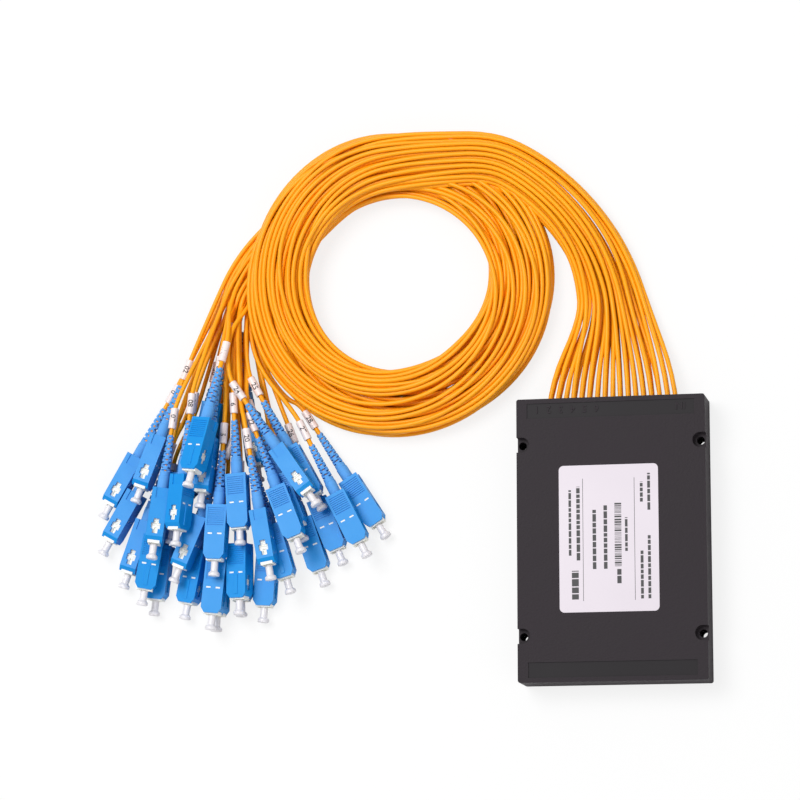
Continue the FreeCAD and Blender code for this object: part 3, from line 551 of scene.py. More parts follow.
def finished(
    name: str, base: Form, cutters: list[Form], edge: float = 0.0, crease: float = 35.0
) -> bpy.types.Mesh:
    """Cuts forms out of another and softens its edges.

    Args:
        name: name of the mesh.
        base: the form that is cut.
        cutters: the forms that are taken away.
        edge: width of the softened edges in millimetres.
        crease: angle in degrees from which an edge is sharp.

    Returns:
        The finished mesh.
    """
    work = put(name, base.data(f"{name}_raw"))
    tools = []
    for number, cutter in enumerate(cutters):
        tool = put(f"{name}_tool_{number}", cutter.data(f"{name}_tool_{number}"))
        tools.append(tool)
        cut = work.modifiers.new(f"cut_{number}", "BOOLEAN")
        cut.operation = "DIFFERENCE"
        cut.solver = "EXACT"
        cut.object = tool
    if edge > 0:
        bevel = work.modifiers.new("edges", "BEVEL")
        bevel.width = edge * MM
        bevel.segments = 2
        bevel.limit_method = "ANGLE"
        bevel.angle_limit = math.radians(crease)
    made = evaluated(work)
    made.name = name
    for piece in [work, *tools]:
        raw = piece.data
        bpy.data.objects.remove(piece)
        bpy.data.meshes.remove(raw)
    made.shade_smooth()
    made.set_sharp_from_angle(angle=math.radians(crease))
    if edge > 0:
        broad = (2 * edge * MM) ** 2
        for face in made.polygons:
            face.use_smooth = face.area < broad
    return made


DIGIT_SHARE = 0.72  # height of a digit against the size of its type


def lettering(text: str, height: float, depth: float) -> bpy.types.Mesh:
    """Plain digits as a thin solid, in millimetres, middle at the origin, reading along X.

    Args:
        text: the digits.
        height: their height.
        depth: half of their thickness.

    Returns:
        The mesh.
    """
    curve = bpy.data.curves.new(f"digits_{text}", "FONT")
    curve.body = text
    curve.size = height / DIGIT_SHARE
    curve.align_x, curve.align_y = "CENTER", "CENTER"
    curve.extrude = depth
    curve.offset = 0.02 * height
    curve.resolution_u = 3
    carrier = put(curve.name, curve)
    made = evaluated(carrier)
    bpy.data.objects.remove(carrier)
    bpy.data.curves.remove(curve)
    return made


# ---------------------------------------------------------------- connectors


@dataclass
class ConnectorKit:
    """Parts of one push-pull connector in its own frame, in millimetres, nose along X.

    Values that belong together are kept in one field:
        window: length, height, distance from the front, and lip above and below.
        ear: start and end of the window's taller step, as shares of its length, and its rise.
        dash: start and end along X, and start and end across.
        grips: count, distance of the first from the rear, pitch, width, depth and side margin.
        rear_notch: length, depth and half of its height.
        key: length, width, height and distance from the front.
        boot: length inside the sleeve, collar, whole length, and width at collar and tip.
        boot_slots: count, distance of the first, pitch, offset, width and overlap with the bore.
        mouth: depth, and rim at the narrow and the broad sides.
        latch: start and end behind the window's front, depth and half of its height.
        ribs: count, distance of the first, pitch, width, depth and half of their height.
        ferrule: width and length. marker: width, length and gap behind the boot.
        cap: width of the neck and of the head, length, rim and flare.
    """

    length: float = 23.5
    width: float = 9.0
    height: float = 7.4
    nose_length: float = 2.2
    nose_width: float = 1.5
    frame_width: float = 6.8
    frame_height: float = 5.2
    frame_proud: float = 0.6
    play: float = 0.05
    window: tuple = (6.5, 3.0, 3.4, 0.3)
    ear: tuple = (0.3, 0.7, 0.5)
    dash: tuple = (0.5, 1.2, 1.1, 3.1)
    grips: tuple = (9, 1.5, 0.9, 0.44, 0.36, 0.9)
    rear_notch: tuple = (4.6, 0.45, 1.9)
    key: tuple = (8.5, 1.8, 0.3, 1.6)
    mouth: tuple = (0.7, 0.75, 0.65)
    latch: tuple = (2.6, 0.2, 0.8, 0.6)
    ribs: tuple = (4, 6.3, 0.85, 0.4, 0.45, 2.1)
    boot_slots: tuple = (8, 1.8, 2.4, 1.2, 0.7, 0.12)
    boot: tuple = (1.5, 6.0, 24.0, 5.0, 2.9)
    ferrule: tuple = (2.5, 5.3)
    cap: tuple = (3.1, 4.9, 6.6, 1.5, 0.8)
    marker: tuple = (3.4, 9.0, 3.0)
    cord: float = 2.0
    dash_depth: float = 0.2
    masters: dict = field(default_factory=dict)

    @property
    def front(self) -> float:
        """Front face of the plug frame."""
        return self.length / 2 + self.frame_proud

    def sleeve(self) -> bpy.types.Mesh:
        """Outer sleeve: bored, windowed, ribbed at its rear, keyed, with slots on its broad sides.

        Returns:
            The mesh.
        """
        half, side, top = self.length / 2, self.width / 2, self.height / 2
        inset = side - self.nose_width
        outline = [
            (-half, -side), (half - self.nose_length, -side), (half, -inset),
            (half, inset), (half - self.nose_length, side), (-half, side),
        ]
        body = Form().prism(outline, -top, top)
        bore_y = self.frame_width / 2 + self.play
        bore_z = self.frame_height / 2 + self.play
        bore = Form().block((-half - PAST, -bore_y, -bore_z), (half + PAST, bore_y, bore_z))
        length, height, front, lip = self.window
        ahead = half - front
        windows = Form().block(
            (ahead - length, -side - PAST, lip - height / 2),
            (ahead, side + PAST, height / 2 - lip),
        )
        ear_near, ear_far, ear_rise = self.ear
        ears = Form().block(
            (ahead - ear_far * length, -side - PAST, -height / 2 - ear_rise),
            (ahead - ear_near * length, side + PAST, height / 2 + ear_rise),
        )
        slots, grooves = Form(), Form()
        rear, ahead, inner, outer = self.dash
        count, first, pitch, width, depth, margin = self.grips
        for level in (-1, 1):
            low, high = span(level, top - self.dash_depth, top + PAST)
            for across in (-1, 1):
                near, far = span(across, inner, outer)
                slots.block((rear, near, low), (ahead, far, high))
            low, high = span(level, top - depth, top + PAST)
            for index in range(count):
                start = -half + first + pitch * index
                grooves.block((start, -side + margin, low), (start + width, side - margin, high))
        length, depth, reach = self.rear_notch
        for across in (-1, 1):
            low, high = span(across, side - depth, side + PAST)
            grooves.block((-half - PAST, low, -reach), (-half + length, high, reach))
        return finished("sleeve", body, [bore, windows, ears, slots, grooves], edge=0.13)

    def pale_floors(self, mesh: bpy.types.Mesh) -> None:
        """Gives the floors of the sleeve's dashes a pale finish.

        Args:
            mesh: the sleeve, with its own finish on it.
        """
        mesh.materials.append(CREAM.material())
        floor = (self.height / 2 - self.dash_depth) * MM
        rear, ahead = self.dash[0] * MM, self.dash[1] * MM
        for face in mesh.polygons:
            if abs(abs(face.center.z) - floor) < 0.02 * MM and rear < face.center.x < ahead:
                face.material_index = 1

    def key_bar(self) -> bpy.types.Mesh:
        """Key bar that stands on one broad side of the sleeve.

        Returns:
            The mesh.
        """
        length, width, height, front = self.key
        ahead, top = self.length / 2 - front, self.height / 2
        bar = Form().block(
            (ahead - length, -width / 2, top - 0.1), (ahead, width / 2, top + height)
        )
        return finished("key_bar", bar, [], edge=0.14)

    def frame(self) -> bpy.types.Mesh:
        """Plug frame: a cream block with a stepped mouth and ribs behind the sleeve's windows.

        Returns:
            The mesh.
        """
        rear = self.boot[0] - self.length / 2
        y, z = self.frame_width / 2, self.frame_height / 2
        body = Form().block((rear, -y, -z), (self.front, y, z))
        depth, rim_y, rim_z = self.mouth
        mouth = Form().block(
            (self.front - depth, -y + rim_y, -z + rim_z), (self.front + PAST, y - rim_y, z - rim_z)
        )
        steps = Form()
        middle = self.length / 2 - self.window[2]
        far, near, latch_depth, latch_rise = self.latch
        count, first, pitch, width, rib_depth, rib_rise = self.ribs
        for across in (-1, 1):
            low, high = span(across, y - latch_depth, y + PAST)
            steps.block((middle - far, low, -latch_rise), (middle - near, high, latch_rise))
            low, high = span(across, y - rib_depth, y + PAST)
            for index in range(count):
                start = middle - first + pitch * index
                steps.block((start, low, -rib_rise), (start + width, high, rib_rise))
        return finished("plug_frame", body, [mouth, steps], edge=0.1)

    def nose(self) -> bpy.types.Mesh:
        """Ceramic ferrule with a chamfered tip.

        Returns:
            The mesh.
        """
        radius, reach = self.ferrule[0] / 2, self.ferrule[1]
        tip = self.front + reach
        profile = [
            (self.front - 1.2, radius), (tip - 0.35, radius), (tip - 0.08, radius - 0.25),
            (tip, radius - 0.55),
        ]
        return finished("ferrule", Form().lathe(profile, 20), [])

    def boot_radius(self, behind: float) -> float:
        """Outer radius of the boot.

        Args:
            behind: distance behind the sleeve.

        Returns:
            The radius there.
        """
        _, collar, length, size, tip = self.boot
        share = min(max((behind - collar) / (length - collar), 0), 1)
        return (size + (tip - size) * share) / 2

    def strain_boot(self) -> bpy.types.Mesh:
        """Boot: a collar, then a taper weakened by staggered slots, hollow round the cord.

        Returns:
            The mesh.
        """
        insert, collar, length, _, _ = self.boot
        rear = -self.length / 2
        bore = self.cord / 2 + 0.05
        outside = [
            (rear + insert, self.boot_radius(0) - 0.1), (rear - 0.2, self.boot_radius(0)),
            (rear - collar + 0.3, self.boot_radius(0)), (rear - collar, self.boot_radius(0) - 0.25),
            (rear - collar - 0.35, self.boot_radius(collar) - 0.22),
            (rear - length + 0.3, self.boot_radius(length)),
            (rear - length, self.boot_radius(length) - 0.2),
        ]
        inside = [(rear - length, bore), (rear + insert, bore)]
        body = Form().lathe(outside + inside, 24, closed=True)
        slots = Form()
        count, first, pitch, offset, width, overlap = self.boot_slots
        low, far = bore - overlap, self.boot_radius(0) + PAST
        for index in range(count):
            start = rear - collar - first - pitch * index
            for side in (-1, 1):
                near, out = span(side, low, far)
                slots.block((start - width, near, -far), (start, out, far))
            start -= offset
            for side in (-1, 1):
                near, out = span(side, low, far)
                slots.block((start - width, -far, near), (start, far, out))
        return finished("boot", body, [slots], crease=28)

    def number_tube(self) -> bpy.types.Mesh:
        """Short snug tube that carries the cord's number.

        Returns:
            The mesh.
        """
        size, length, gap = self.marker
        rear = -self.length / 2 - self.boot[2] - gap
        outer, inner = size / 2, self.cord / 2 + 0.12
        profile = [
            (rear, inner), (rear, outer - 0.12), (rear - 0.12, outer),
            (rear - length + 0.12, outer), (rear - length, outer - 0.12), (rear - length, inner),
        ]
        return finished("marker", Form().lathe(profile, 24, closed=True), [])

    def dust_cap(self) -> bpy.types.Mesh:
        """Dust cap: a thin cup with a flared, rounded head.

        Returns:
            The mesh.
        """
        neck, head, length, rim, flare = self.cap
        tip = self.front + length
        shoulder, end = tip - rim, self.front + self.ferrule[1] + 0.1
        hole = self.ferrule[0] / 2 + 0.05
        profile = [
            (self.front, hole), (self.front, neck / 2 - 0.06), (self.front + 0.12, neck / 2),
            (shoulder - flare, neck / 2), (shoulder, head / 2 - 0.1), (shoulder + 0.25, head / 2),
            (tip - 0.4, head / 2), (tip - 0.12, head / 2 - 0.15), (tip, head / 2 - 0.5),
            (tip, 0.02), (end, 0.02), (end, hole),
        ]
        return finished("cap", Form().lathe(profile, 24, closed=True), [], crease=32)

    def number(self, text: str, facing: float) -> bpy.types.Mesh:
        """Digits wrapped on the number tube, reading along the cord.

        Args:
            text: the digits.
            facing: turn of the digits round the tube, in radians from the key bar's side.

        Returns:
            The mesh.
        """
        size, length, gap = self.marker
        middle = -self.length / 2 - self.boot[2] - gap - length / 2
        made = lettering(text, 2.3, 0.03)
        reach = size / 2
        for vertex in made.vertices:
            x, y, z = vertex.co
            turn = y / reach + facing
            radius = reach + 0.01 + z
            vertex.co = Vector((middle + x, radius * math.sin(turn), radius * math.cos(turn))) * MM
        made.name = f"number_{text}"
        return made

    def master(self, name: str) -> bpy.types.Mesh:
        """Returns one of the shared meshes and builds it the first time.

        Args:
            name: sleeve, key, frame, ferrule, boot, marker or cap.

        Returns:
            The mesh.
        """
        if name not in self.masters:
            build, finish = {
                "sleeve": (self.sleeve, SLEEVE_BLUE),
                "key": (self.key_bar, SLEEVE_BLUE),
                "frame": (self.frame, CREAM),
                "ferrule": (self.nose, CERAMIC),
                "boot": (self.strain_boot, BOOT_BLUE),
                "marker": (self.number_tube, TUBE_WHITE),
                "cap": (self.dust_cap, CAP_CLEAR),
            }[name]
            made = build()
            paint(made, finish)
            if name == "sleeve":
                self.pale_floors(made)
            self.masters[name] = made
        return self.masters[name]


@dataclass
class Connector:
    """One connector on the end of its cord."""

    lie: Lie
    kit: ConnectorKit
    pieces: dict = field(default_factory=dict)

    def add(self, part: str, mesh: bpy.types.Mesh, body: str, node: str, slot: str) -> None:
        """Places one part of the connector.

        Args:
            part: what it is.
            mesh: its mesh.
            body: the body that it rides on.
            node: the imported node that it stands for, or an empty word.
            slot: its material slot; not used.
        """
        piece = put(f"{part}_{self.lie.name}", mesh)
        piece.matrix_world = self.lie.matrix
        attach(piece, body)
        if node:
            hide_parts(node)
        self.pieces[part] = piece

    def build(self) -> list[bpy.types.Object]:
        """Builds every part.

        Returns:
            The pieces.
        """
        entry = self.lie.name == "in"
        outer = "input_sleeve" if entry else ROOT
        parts = {
            "sleeve": ("sleeve", "connector_blue"), "frame": ("plug_frame", "frame_cream"),
            "ferrule": ("ferrule", "ceramic"), "boot": ("boot", "boot_blue"),
            "marker": ("marker", "marker"),
        }
        for part, (stem, slot) in parts.items():
            node = f"input_{stem}" if entry else f"output_{stem}s"
            body = outer if part == "sleeve" else ROOT
            self.add(part, self.kit.master(part), body, node, slot)
        self.add("key", self.kit.master("key"), outer, "", "connector_blue")
        cap = f"dust_cap_{self.lie.name}"
        self.add("cap", self.kit.master("cap"), cap, cap, "cap")
        above = self.lie.matrix.to_3x3().inverted() @ UP
        facing = math.atan2(above.y, above.z)
        digits = self.kit.number("IN" if entry else self.lie.name, facing)
        paint(digits, INK)
        self.add("digits", digits, ROOT, "", "marker")
        return list(self.pieces.values())


# ---------------------------------------------------------------- box


@dataclass
class Box:
    """The housing, its label, the numbers in its strip and the pieces inside."""

    number_first: float = -31.2
    number_pitch: float = 5.06
    number_count: int = 6
    entry_place: float = 29.7
    strip_middle: float = 55.4
    strip_floor: float = 17.6
    label_middle: tuple = (-1.0, 0.0)
    label_rules: tuple = (10.9, 0.2, 51.6, -0.5)
    label_top: float = 18.15
    ink_height: float = 0.02
    word_lengths: tuple = (1.4, 3.2)
    word_gap: float = 0.45
    barcode: tuple = (3.9, -12.0, 15.0, 2.9)

    def dress(self) -> None:
        """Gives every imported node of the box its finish."""
        finishes = {
            "box_base": SHELL, "box_lid": SHELL, "cord_comb": SHELL, "label_sticker": PAPER,
            "module_case": STEEL, "module_input_plug": FILLER, "module_output_plug": FILLER,
            "chip_pad": FILLER, "input_fibre_block": GLASS, "waveguide_chip": GLASS,
            "output_fibre_block": GLASS, "fan_out_block": FILLER, "fibre_ribbon": FIBRE,
            "input_fibre": FIBRE,
        }
        for node, finish in finishes.items():
            paint(bpy.data.objects[node].data, finish)
        lid = bpy.data.objects["box_lid"]
        lid.data.materials.append(SHELL_SMOOTH.material())
        for face in lid.data.polygons:
            level = (lid.matrix_world @ face.center).z / MM
            if abs(level - self.strip_floor) < 0.05 and abs(face.normal.z) > 0.9:
                face.material_index = 1

    def numbers(self) -> None:
        """Raised numbers in the strip by the cords, moulded with the lid."""
        joined = Form()
        marks = [
            (str(index + 1), self.number_first + self.number_pitch * index)
            for index in range(self.number_count)
        ]
        for text, across in [*marks, ("IN", self.entry_place)]:
            digits = lettering(text, 3.1, 0.16)
            spot = Vector((across, self.strip_middle, self.strip_floor + 0.12))
            digits.transform(Matrix.Translation(spot) @ Matrix.Rotation(math.pi, 4, "Z"))
            joined.mesh.from_mesh(digits)
            bpy.data.meshes.remove(digits)
        self.place("lane_numbers", joined.data("lane_numbers"), SHELL, "box_shell")

    def place(self, name: str, mesh: bpy.types.Mesh, finish: Plastic, slot: str) -> None:
        """Puts a piece that rides with the box into the scene.

        Args:
            name: the piece's name.
            mesh: its mesh.
            finish: its finish.
            slot: its material slot; not used.
        """
        paint(mesh, finish)
        piece = put(name, mesh)
        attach(piece, ROOT)

    def print_bars(self) -> list[tuple]:
        """Dark print of the label as plain bars.

        Returns:
            Each bar's middle and size, along the label's width and its length.
        """
        draw = random.Random(11)
        bars = []
        rows = [
            (-14.3, -25.6, 12.1, 2.9), (-16.4, -7.1, 27.7, 1.1), (-12.9, -9.2, 31.2, 1.5),
            (-6.1, -13.0, 25.0, 1.5), (-1.4, -13.0, 27.2, 1.5), (4.3, -19.2, 6.0, 1.8),
            (7.4, -5.7, 14.2, 1.1), (13.9, -25.8, 20.1, 1.2), (13.9, 14.9, 8.5, 1.2),
            (17.0, -25.8, 26.5, 1.2), (17.0, 11.4, 15.6, 1.2),
        ]
        for across, start, length, height in rows:
            spot = start
            while spot < start + length:
                word = min(draw.uniform(*self.word_lengths), start + length - spot)
                bars.append((across, spot + word / 2, height, word))
                spot += word + self.word_gap
        across, spot, end, height = self.barcode
        while spot < end:
            wide = draw.choice((0.25, 0.25, 0.5, 0.75))
            bars.append((across, spot + wide / 2, height, wide))
            spot += wide + draw.choice((0.3, 0.3, 0.55))
        return bars

    def label(self) -> None:
        """Print on the label: two thin rules, and bars in place of words."""
        ink = Form()
        middle_x, middle_y = self.label_middle
        across, thin, length, along = self.label_rules
        rules = [(side * across, along, thin, length) for side in (-1, 1)]
        for x, y, wide, long in [*self.print_bars(), *rules]:
            low = (middle_x + x - wide / 2, middle_y + y - long / 2, self.label_top)
            top = self.label_top + self.ink_height
            ink.block(low, (middle_x + x + wide / 2, middle_y + y + long / 2, top))
        self.place("label_print", ink.data("label_print"), INK, "label")

    def build(self) -> None:
        """Dresses the box and adds what is printed and moulded on it."""
        self.dress()
        self.numbers()
        self.label()
        LOG.info("box dressed")


@dataclass
class Slice:
    """One section through the bundle of cords.

    Lengths are in millimetres: middle of the section on the table, direction to the right of the
    cords' travel, half of its width, level of its lowest cords and half of its height.
    """

    middle: Vector
    right: Vector
    half_width: float
    base: float
    half_height: float
    twist: float = 0.0
    wander: float = 0.0
    shared: int = -1


@dataclass
class Strand:
    """One cord: its lane and row in the comb, and the connector at its end."""

    lane: int
    row: int
    lie: Lie


@dataclass
class CordSet:
    """All cords from the comb through the coil to the connectors."""

    diameter: float = 2.0
    lane_pitch: float = 3.43
    lane_count: int = 17
    row_pitch: float = 2.05
    seam: float = 9.0
    box_end: float = 60.0
    fan_face: float = 50.0
    first_run: float = 6.0
    coil_middle: tuple = (-93.3, 114.9)
    coil_radius: float = 53.25
    coil_half_width: float = 12.9
    farthest: float = 180.3
    layer: float = 5.4
    entry_angle: float = 72.0
    exit_angle: float = 874.0
    step: float = 15.0
    per_turn: int = 24
    boot_end: float = 35.75
    sleeve_rear: float = 11.75
    seed: int = 4
    turn_changes: tuple = (172, 532)
    turn_ease: float = 40.0
    sways: tuple = ((1.1, 2, 0.6), (0.8, 3, 2.0))
    coil_half_height: float = 2.4
    free_wander: float = 0.9
    coil_wander: float = 1.0
    stray_rate: tuple = (1.0, 3.4)
    stray_reach: tuple = (0.6, 3.8)
    inward_reach: float = 2.2
    rounds: int = 140
    pulls: tuple = (0.08, 0.04)
    sink: float = 0.012
    smoothing: float = 0.25
    push: float = 0.45
    slack: float = 1.02
    box_bundle: tuple = (
        ((0.2, 100), 29.5, 0.0, 7.5),
        ((-2.8, 115), 23, 0.0, 9.5),
        ((-9.0, 130), 19, 0.0, 11),
        ((-20.5, 146.0), 18, 2.0, 12),
        ((-36.8, 160.3), 18, 5.5, 11.5),
        ((-52, 168), 20, 8.5, 9),
        ((-76, 168.2), 22, 10.8, 6.5),
    )
    plug_bundle: tuple = (
        ((-143, 139), 21, 0.0, 6.5),
        ((-154, 129), 20, 0.0, 7.5),
        ((-161, 120), 18, 0.0, 9),
        ((-166, 110.5), 16, 0.0, 10.8),
    )

    def free_slices(self, bundle: tuple) -> list[Slice]:
        """Sections of a stretch where the bundle runs outside the coil.

        Args:
            bundle: middle, width, lowest level and height of each section.

        Returns:
            The sections in order of travel.
        """
        made = []
        middles = [Vector((*middle, 0)) for middle, *_ in bundle]
        for index, (_, width, base, height) in enumerate(bundle):
            before = middles[max(index - 1, 0)]
            after = middles[min(index + 1, len(bundle) - 1)]
            right = (after - before).normalized().cross(UP)
            half = (width - self.diameter) / 2
            half_height = (height - self.diameter) / 2
            wander = self.free_wander
            made.append(Slice(middles[index], right, half, base, half_height, wander=wander))
        return made

    def layers_below(self, angle: float) -> float:
        """How many turns of the bundle lie under this one, between 0 and 2.

        Args:
            angle: travel angle in degrees, counted on over the turns.

        Returns:
            The number of turns below, easing from one number to the next.
        """
        below = 2.0
        for start in self.turn_changes:
            share = min(max((angle - start) / self.turn_ease, 0), 1)
            below -= share * share * (3 - 2 * share)
        return below

    def coil_slices(self) -> list[Slice]:
        """Sections round the coil; those at one angle share the space of their turns.

        Returns:
            The sections in order of travel.
        """
        made = []
        count = int((self.exit_angle - self.entry_angle) / self.step) - 1
        for index in range(count):
            angle = self.entry_angle + self.step * (index + 1)
            turn = math.radians(angle)
            right = Vector((math.cos(turn), math.sin(turn), 0))
            share = (angle - self.entry_angle) / (self.exit_angle - self.entry_angle)
            sway = sum(size * math.sin(waves * turn + shift) for size, waves, shift in self.sways)
            middle = Vector((*self.coil_middle, 0)) + right * (self.coil_radius + 0.5 * sway)
            made.append(
                Slice(
                    middle, right, self.coil_half_width, self.layer * self.layers_below(angle),
                    self.coil_half_height, twist=2 * math.pi * share, wander=self.coil_wander,
                    shared=index % self.per_turn,
                )
            )
        return made

    def strands(self) -> list[Strand]:
        """Pairs each lane of the comb with a connector, so that few cords cross.

        Returns:
            The strands, outputs first.
        """
        last = self.free_slices(self.plug_bundle)[-1].middle

        def fan(lie: Lie) -> float:
            """Angle round the fan, from its left side to its right."""
            tail = lie.along(-self.boot_end * MM) / MM
            return math.atan2(tail.x - last.x, last.y - tail.y)

        ordered = sorted(OUTPUT_LIES, key=fan)
        made = []
        for column in range(self.lane_count - 1):
            pair = sorted(ordered[2 * column:2 * column + 2], key=lambda lie: lie.place[2])
            for row, lie in enumerate(pair):
                made.append(Strand(self.lane_count - 2 - column, row, lie))
        made.append(Strand(self.lane_count - 1, 1, INPUT_LIE))
        return made

    def targets(self, strands: list[Strand], slices: list[Slice]) -> np.ndarray:
        """Where each cord would like to be in each section: across, and above the table.

        Args:
            strands: the cords.
            slices: the sections.

        Returns:
            An array of cords by sections by two.
        """
        draw = random.Random(self.seed)
        aims = np.zeros((len(strands), len(slices), 2))
        for number, strand in enumerate(strands):
            spot = strand.lane * 2 / (self.lane_count - 1) - 1
            fill = 1.0 if strand.lane % 2 else 0.5
            rise = (strand.row * 2 - 1) * fill * math.sqrt(max(1 - spot * spot, 0.02))
            phase = draw.uniform(0, 2 * math.pi)
            rate = draw.uniform(*self.stray_rate)
            reach = draw.uniform(*self.stray_reach)
            for index, cut in enumerate(slices):
                cosine, sine = math.cos(cut.twist), math.sin(cut.twist)
                across = spot * cosine - rise * sine
                level = spot * sine + rise * cosine
                stray = reach * cut.wander * math.sin(rate * index * 0.26 + phase)
                if number % 5 == 2:
                    stray -= self.inward_reach * cut.wander * max(math.sin(0.31 * index + phase), 0)
                aims[number, index, 0] = across * cut.half_width + stray
                aims[number, index, 1] = (
                    cut.base + self.diameter / 2 + cut.half_height * (1 + level)
                )
        return aims

    def settle(self, aims: np.ndarray, slices: list[Slice]) -> np.ndarray:
        """Lets the cords push apart in each section and stay smooth along their travel.

        Args:
            aims: wanted places, cords by sections by two.
            slices: the sections.

        Returns:
            The settled places, in the same order.
        """
        spacing = self.diameter * self.slack
        rooms = {}
        for index, cut in enumerate(slices):
            key = ("coil", cut.shared) if cut.shared >= 0 else ("free", index)
            rooms.setdefault(key, []).append(index)
        places = aims.copy()
        cords = aims.shape[0]
        for turn in range(self.rounds):
            pull = self.pulls[0] if turn < self.rounds // 2 else self.pulls[1]
            places += (aims - places) * pull
            places[:, :, 1] -= self.sink
            middle = (places[:, :-2] + places[:, 2:]) / 2
            places[:, 1:-1] += (middle - places[:, 1:-1]) * self.smoothing
            for _ in range(2):
                for members in rooms.values():
                    crowd = places[:, members].reshape(-1, 2)
                    gap = crowd[:, None] - crowd[None]
                    far = np.sqrt((gap ** 2).sum(-1)) + np.eye(len(crowd)) * 99 + 1e-9
                    push = np.clip(spacing - far, 0, None) / far * self.push
                    crowd = crowd + (gap * push[..., None]).sum(1)
                    places[:, members] = crowd.reshape(cords, len(members), 2)
                places[:, :, 1] = np.maximum(places[:, :, 1], self.diameter / 2)
        return places

    def mouth(self, strand: Strand, reach: float) -> tuple:
        """Point on a cord's straight way through the comb, reach millimetres along the box."""
        across = (strand.lane - (self.lane_count - 1) / 2) * self.lane_pitch
        return across, reach, self.seam + (strand.row - 0.5) * self.row_pitch

    def route(self, strand: Strand, cuts: list[Slice], places: np.ndarray) -> list[Vector]:
        """Control points of one cord, in metres.

        Args:
            strand: the cord.
            cuts: the sections that it passes.
            places: its place in each of them.

        Returns:
            The points from the fan-out block to the end inside the boot.
        """
        reaches = (self.fan_face, self.box_end + self.first_run)
        points = [Vector(self.mouth(strand, reach)) for reach in reaches]
        for cut, (side, height) in zip(cuts, places):
            spot = cut.middle + cut.right * float(side) + UP * float(height)
            spot.y = min(spot.y, self.farthest)
            points.append(spot)
        points += [Vector(spot) for spot in strand.lie.via]
        for back in (self.boot_end + 16, self.boot_end + 6, self.boot_end - 6, self.sleeve_rear):
            points.append(strand.lie.along(-back * MM) / MM)
        return [point * MM for point in points]

    def spline(self, name: str, points: list[Vector]) -> bpy.types.Object:
        """One cord as a bevelled curve.

        Args:
            name: the piece's name.
            points: control points in metres.

        Returns:
            The curve object.
        """
        curve = bpy.data.curves.new(name, "CURVE")
        curve.dimensions = "3D"
        curve.bevel_depth = self.diameter / 2 * MM
        curve.bevel_resolution = 2
        curve.resolution_u = 5
        curve.use_fill_caps = True
        line = curve.splines.new("NURBS")
        line.points.add(len(points) - 1)
        for spot, point in zip(line.points, points):
            spot.co = (*point, 1)
        line.order_u = 3
        line.use_endpoint_u = True
        paint(curve, JACKET)
        return put(name, curve)

    def measure(self, piece: bpy.types.Object) -> float:
        """Length of a cord's line.

        Args:
            piece: the cord.

        Returns:
            Its length in metres.
        """
        depth = piece.data.bevel_depth
        piece.data.bevel_depth = 0
        line = evaluated(piece)
        spots = [vertex.co.copy() for vertex in line.vertices]
        bpy.data.meshes.remove(line)
        piece.data.bevel_depth = depth
        return sum((b - a).length for a, b in zip(spots, spots[1:]))

    def build(self) -> list[tuple]:
        """Builds every cord.

        Returns:
            Each strand with its piece.
        """
        strands = self.strands()
        slices = self.free_slices(self.box_bundle) + self.coil_slices()
        slices += self.free_slices(self.plug_bundle)
        places = self.settle(self.targets(strands, slices), slices)
        made = []
        for strand, own in zip(strands, places):
            piece = self.spline(f"cord_{strand.lie.name}", self.route(strand, slices, own))
            made.append((strand, piece))
        lengths = [self.measure(piece) for _, piece in made]
        LOG.info("%d cords, %.3f to %.3f m", len(made), min(lengths), max(lengths))
        return made


# ---------------------------------------------------------------- floor, lamps and camera


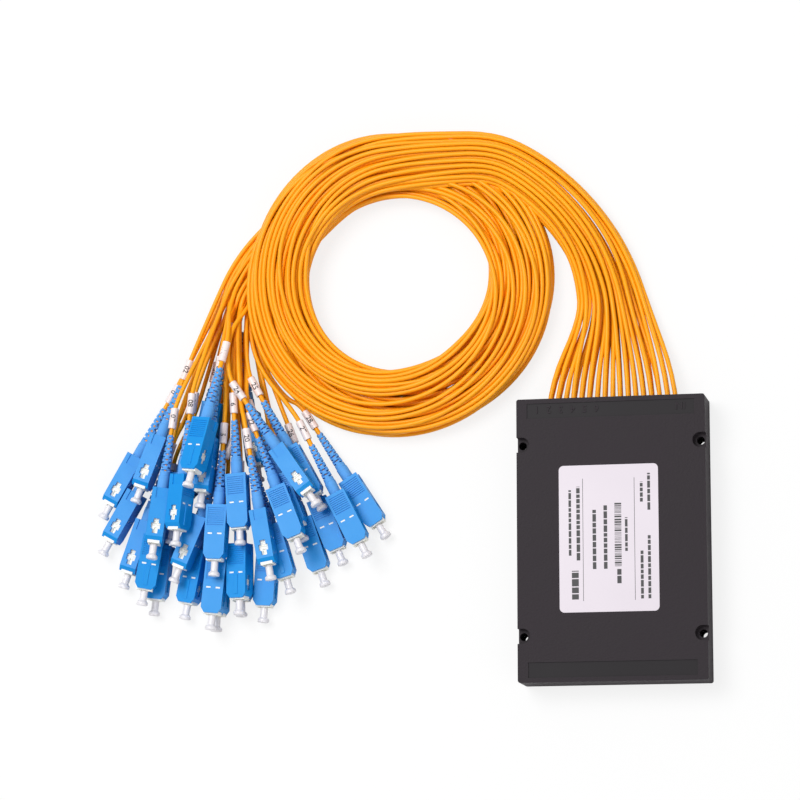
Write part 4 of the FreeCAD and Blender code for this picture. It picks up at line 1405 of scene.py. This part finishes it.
@dataclass
class Studio:
    """Floor, soft lamps, world and camera."""

    target: tuple = (-93.951, 64.806, 0.0)
    azimuth: float = 49.609
    elevation: float = 74.803
    roll: float = -50.607
    distance: float = 1500.0
    lens: float = 156.324
    floor_size: float = 6.0
    floor_drop: float = 0.0002
    floor_glow: float = 0.8
    world_light: float = 0.38

    def show(self, tree: bpy.types.NodeTree, shaders: tuple, share: tuple, target: str) -> None:
        """Mixes a shader that is seen into one that lights.

        Args:
            tree: the node tree.
            shaders: the one that lights and the one that is seen.
            share: node and output that say how much of the second is seen.
            target: name of the output node.
        """
        mix = add_node(tree, "MixShader")
        wire(
            tree,
            (*share, mix, "Fac"), (shaders[0], 0, mix, 1), (shaders[1], 0, mix, 2),
            (mix, 0, tree.nodes[target], "Surface"),
        )

    def floor(self) -> None:
        """Pale floor that shows white and keeps a soft shadow."""
        mesh = bpy.data.meshes.new("floor")
        half = self.floor_size / 2
        corners = [(-half, -half, 0), (half, -half, 0), (half, half, 0), (-half, half, 0)]
        mesh.from_pydata(corners, [], [(0, 1, 2, 3)])
        piece = put("floor", mesh)
        piece.location.z = -self.floor_drop
        made = bpy.data.materials.new("floor_white")
        made.use_nodes = True
        tree = made.node_tree
        shader = tree.nodes["Principled BSDF"]
        shader.inputs["Base Color"].default_value = (0.9, 0.9, 0.9, 1)
        shader.inputs["Roughness"].default_value = 0.9
        share = add_node(tree, "Math", operation="MULTIPLY")
        share.inputs[1].default_value = self.floor_glow
        wire(tree, (add_node(tree, "LightPath"), "Is Camera Ray", share, 0))
        self.show(tree, (shader, add_node(tree, "Emission")), (share, 0), "Material Output")
        mesh.materials.append(made)

    def lamp(self, name: str, place: tuple, size: float, power: float) -> None:
        """One soft square lamp aimed at the middle of the object.

        Args:
            name: the lamp's name.
            place: its place in metres from the middle of the object.
            size: its side in metres.
            power: its power in watts.
        """
        light = bpy.data.lights.new(name, "AREA")
        light.size = size
        light.energy = power
        lamp = put(name, light)
        lamp.location = Vector(self.target) * MM + Vector(place)
        lamp.rotation_euler = Vector(place).to_track_quat("Z", "Y").to_euler()

    def world(self) -> None:
        """Even surroundings that light the object softly and are seen as white."""
        world = bpy.data.worlds.new("studio")
        world.use_nodes = True
        tree = world.node_tree
        light = tree.nodes["Background"]
        light.inputs["Color"].default_value = (1, 1, 1, 1)
        light.inputs["Strength"].default_value = self.world_light
        seen = add_node(tree, "Background")
        seen.inputs["Color"].default_value = (1, 1, 1, 1)
        rays = add_node(tree, "LightPath")
        mirrored = add_node(tree, "Math", operation="MAXIMUM")
        either = add_node(tree, "Math", operation="MAXIMUM")
        wire(
            tree,
            (rays, "Is Glossy Ray", mirrored, 0), (rays, "Is Transmission Ray", mirrored, 1),
            (rays, "Is Camera Ray", either, 0), (mirrored, 0, either, 1),
        )
        self.show(tree, (light, seen), (either, 0), "World Output")
        bpy.context.scene.world = world

    def camera(self) -> None:
        """Camera high above the object, turned as the object is seen."""
        azimuth, tilt, roll = (
            math.radians(value) for value in (self.azimuth, self.elevation, self.roll)
        )
        level = math.cos(tilt)
        back = Vector((math.sin(azimuth) * level, -math.cos(azimuth) * level, math.sin(tilt)))
        right = Vector((math.cos(azimuth), math.sin(azimuth), 0))
        upward = back.cross(right)
        side = right * math.cos(roll) + upward * math.sin(roll)
        top = upward * math.cos(roll) - right * math.sin(roll)
        lens = bpy.data.cameras.new("camera")
        lens.lens = self.lens
        lens.sensor_width = 36
        lens.clip_end = 20
        camera = put("camera", lens)
        spin = Matrix((side, top, back)).transposed().to_4x4()
        place = (Vector(self.target) + back * self.distance) * MM
        camera.matrix_world = Matrix.Translation(place) @ spin
        bpy.context.scene.camera = camera

    def build(self) -> None:
        """Sets the whole stage."""
        self.floor()
        self.lamp("key", (-0.5, 0.4, 1.6), 0.9, 23)
        self.lamp("fill", (0.9, -0.9, 1.2), 1.4, 6)
        self.world()
        self.camera()
        settings = bpy.context.scene.view_settings
        settings.view_transform = "Standard"
        LOG.info("studio set")


def main() -> None:
    """Builds every sub-assembly in order."""
    logging.basicConfig(level=logging.INFO)
    Studio().build()
    Box().build()
    kit = ConnectorKit()
    cords = CordSet()
    for strand, piece in cords.build():
        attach(piece, ROOT)
        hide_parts("cord_coil", "cord_leads")
        leaves = tuple(value * MM for value in cords.mouth(strand, cords.box_end))
        Connector(strand.lie, kit).build()


if __name__ == "__main__":
    main()
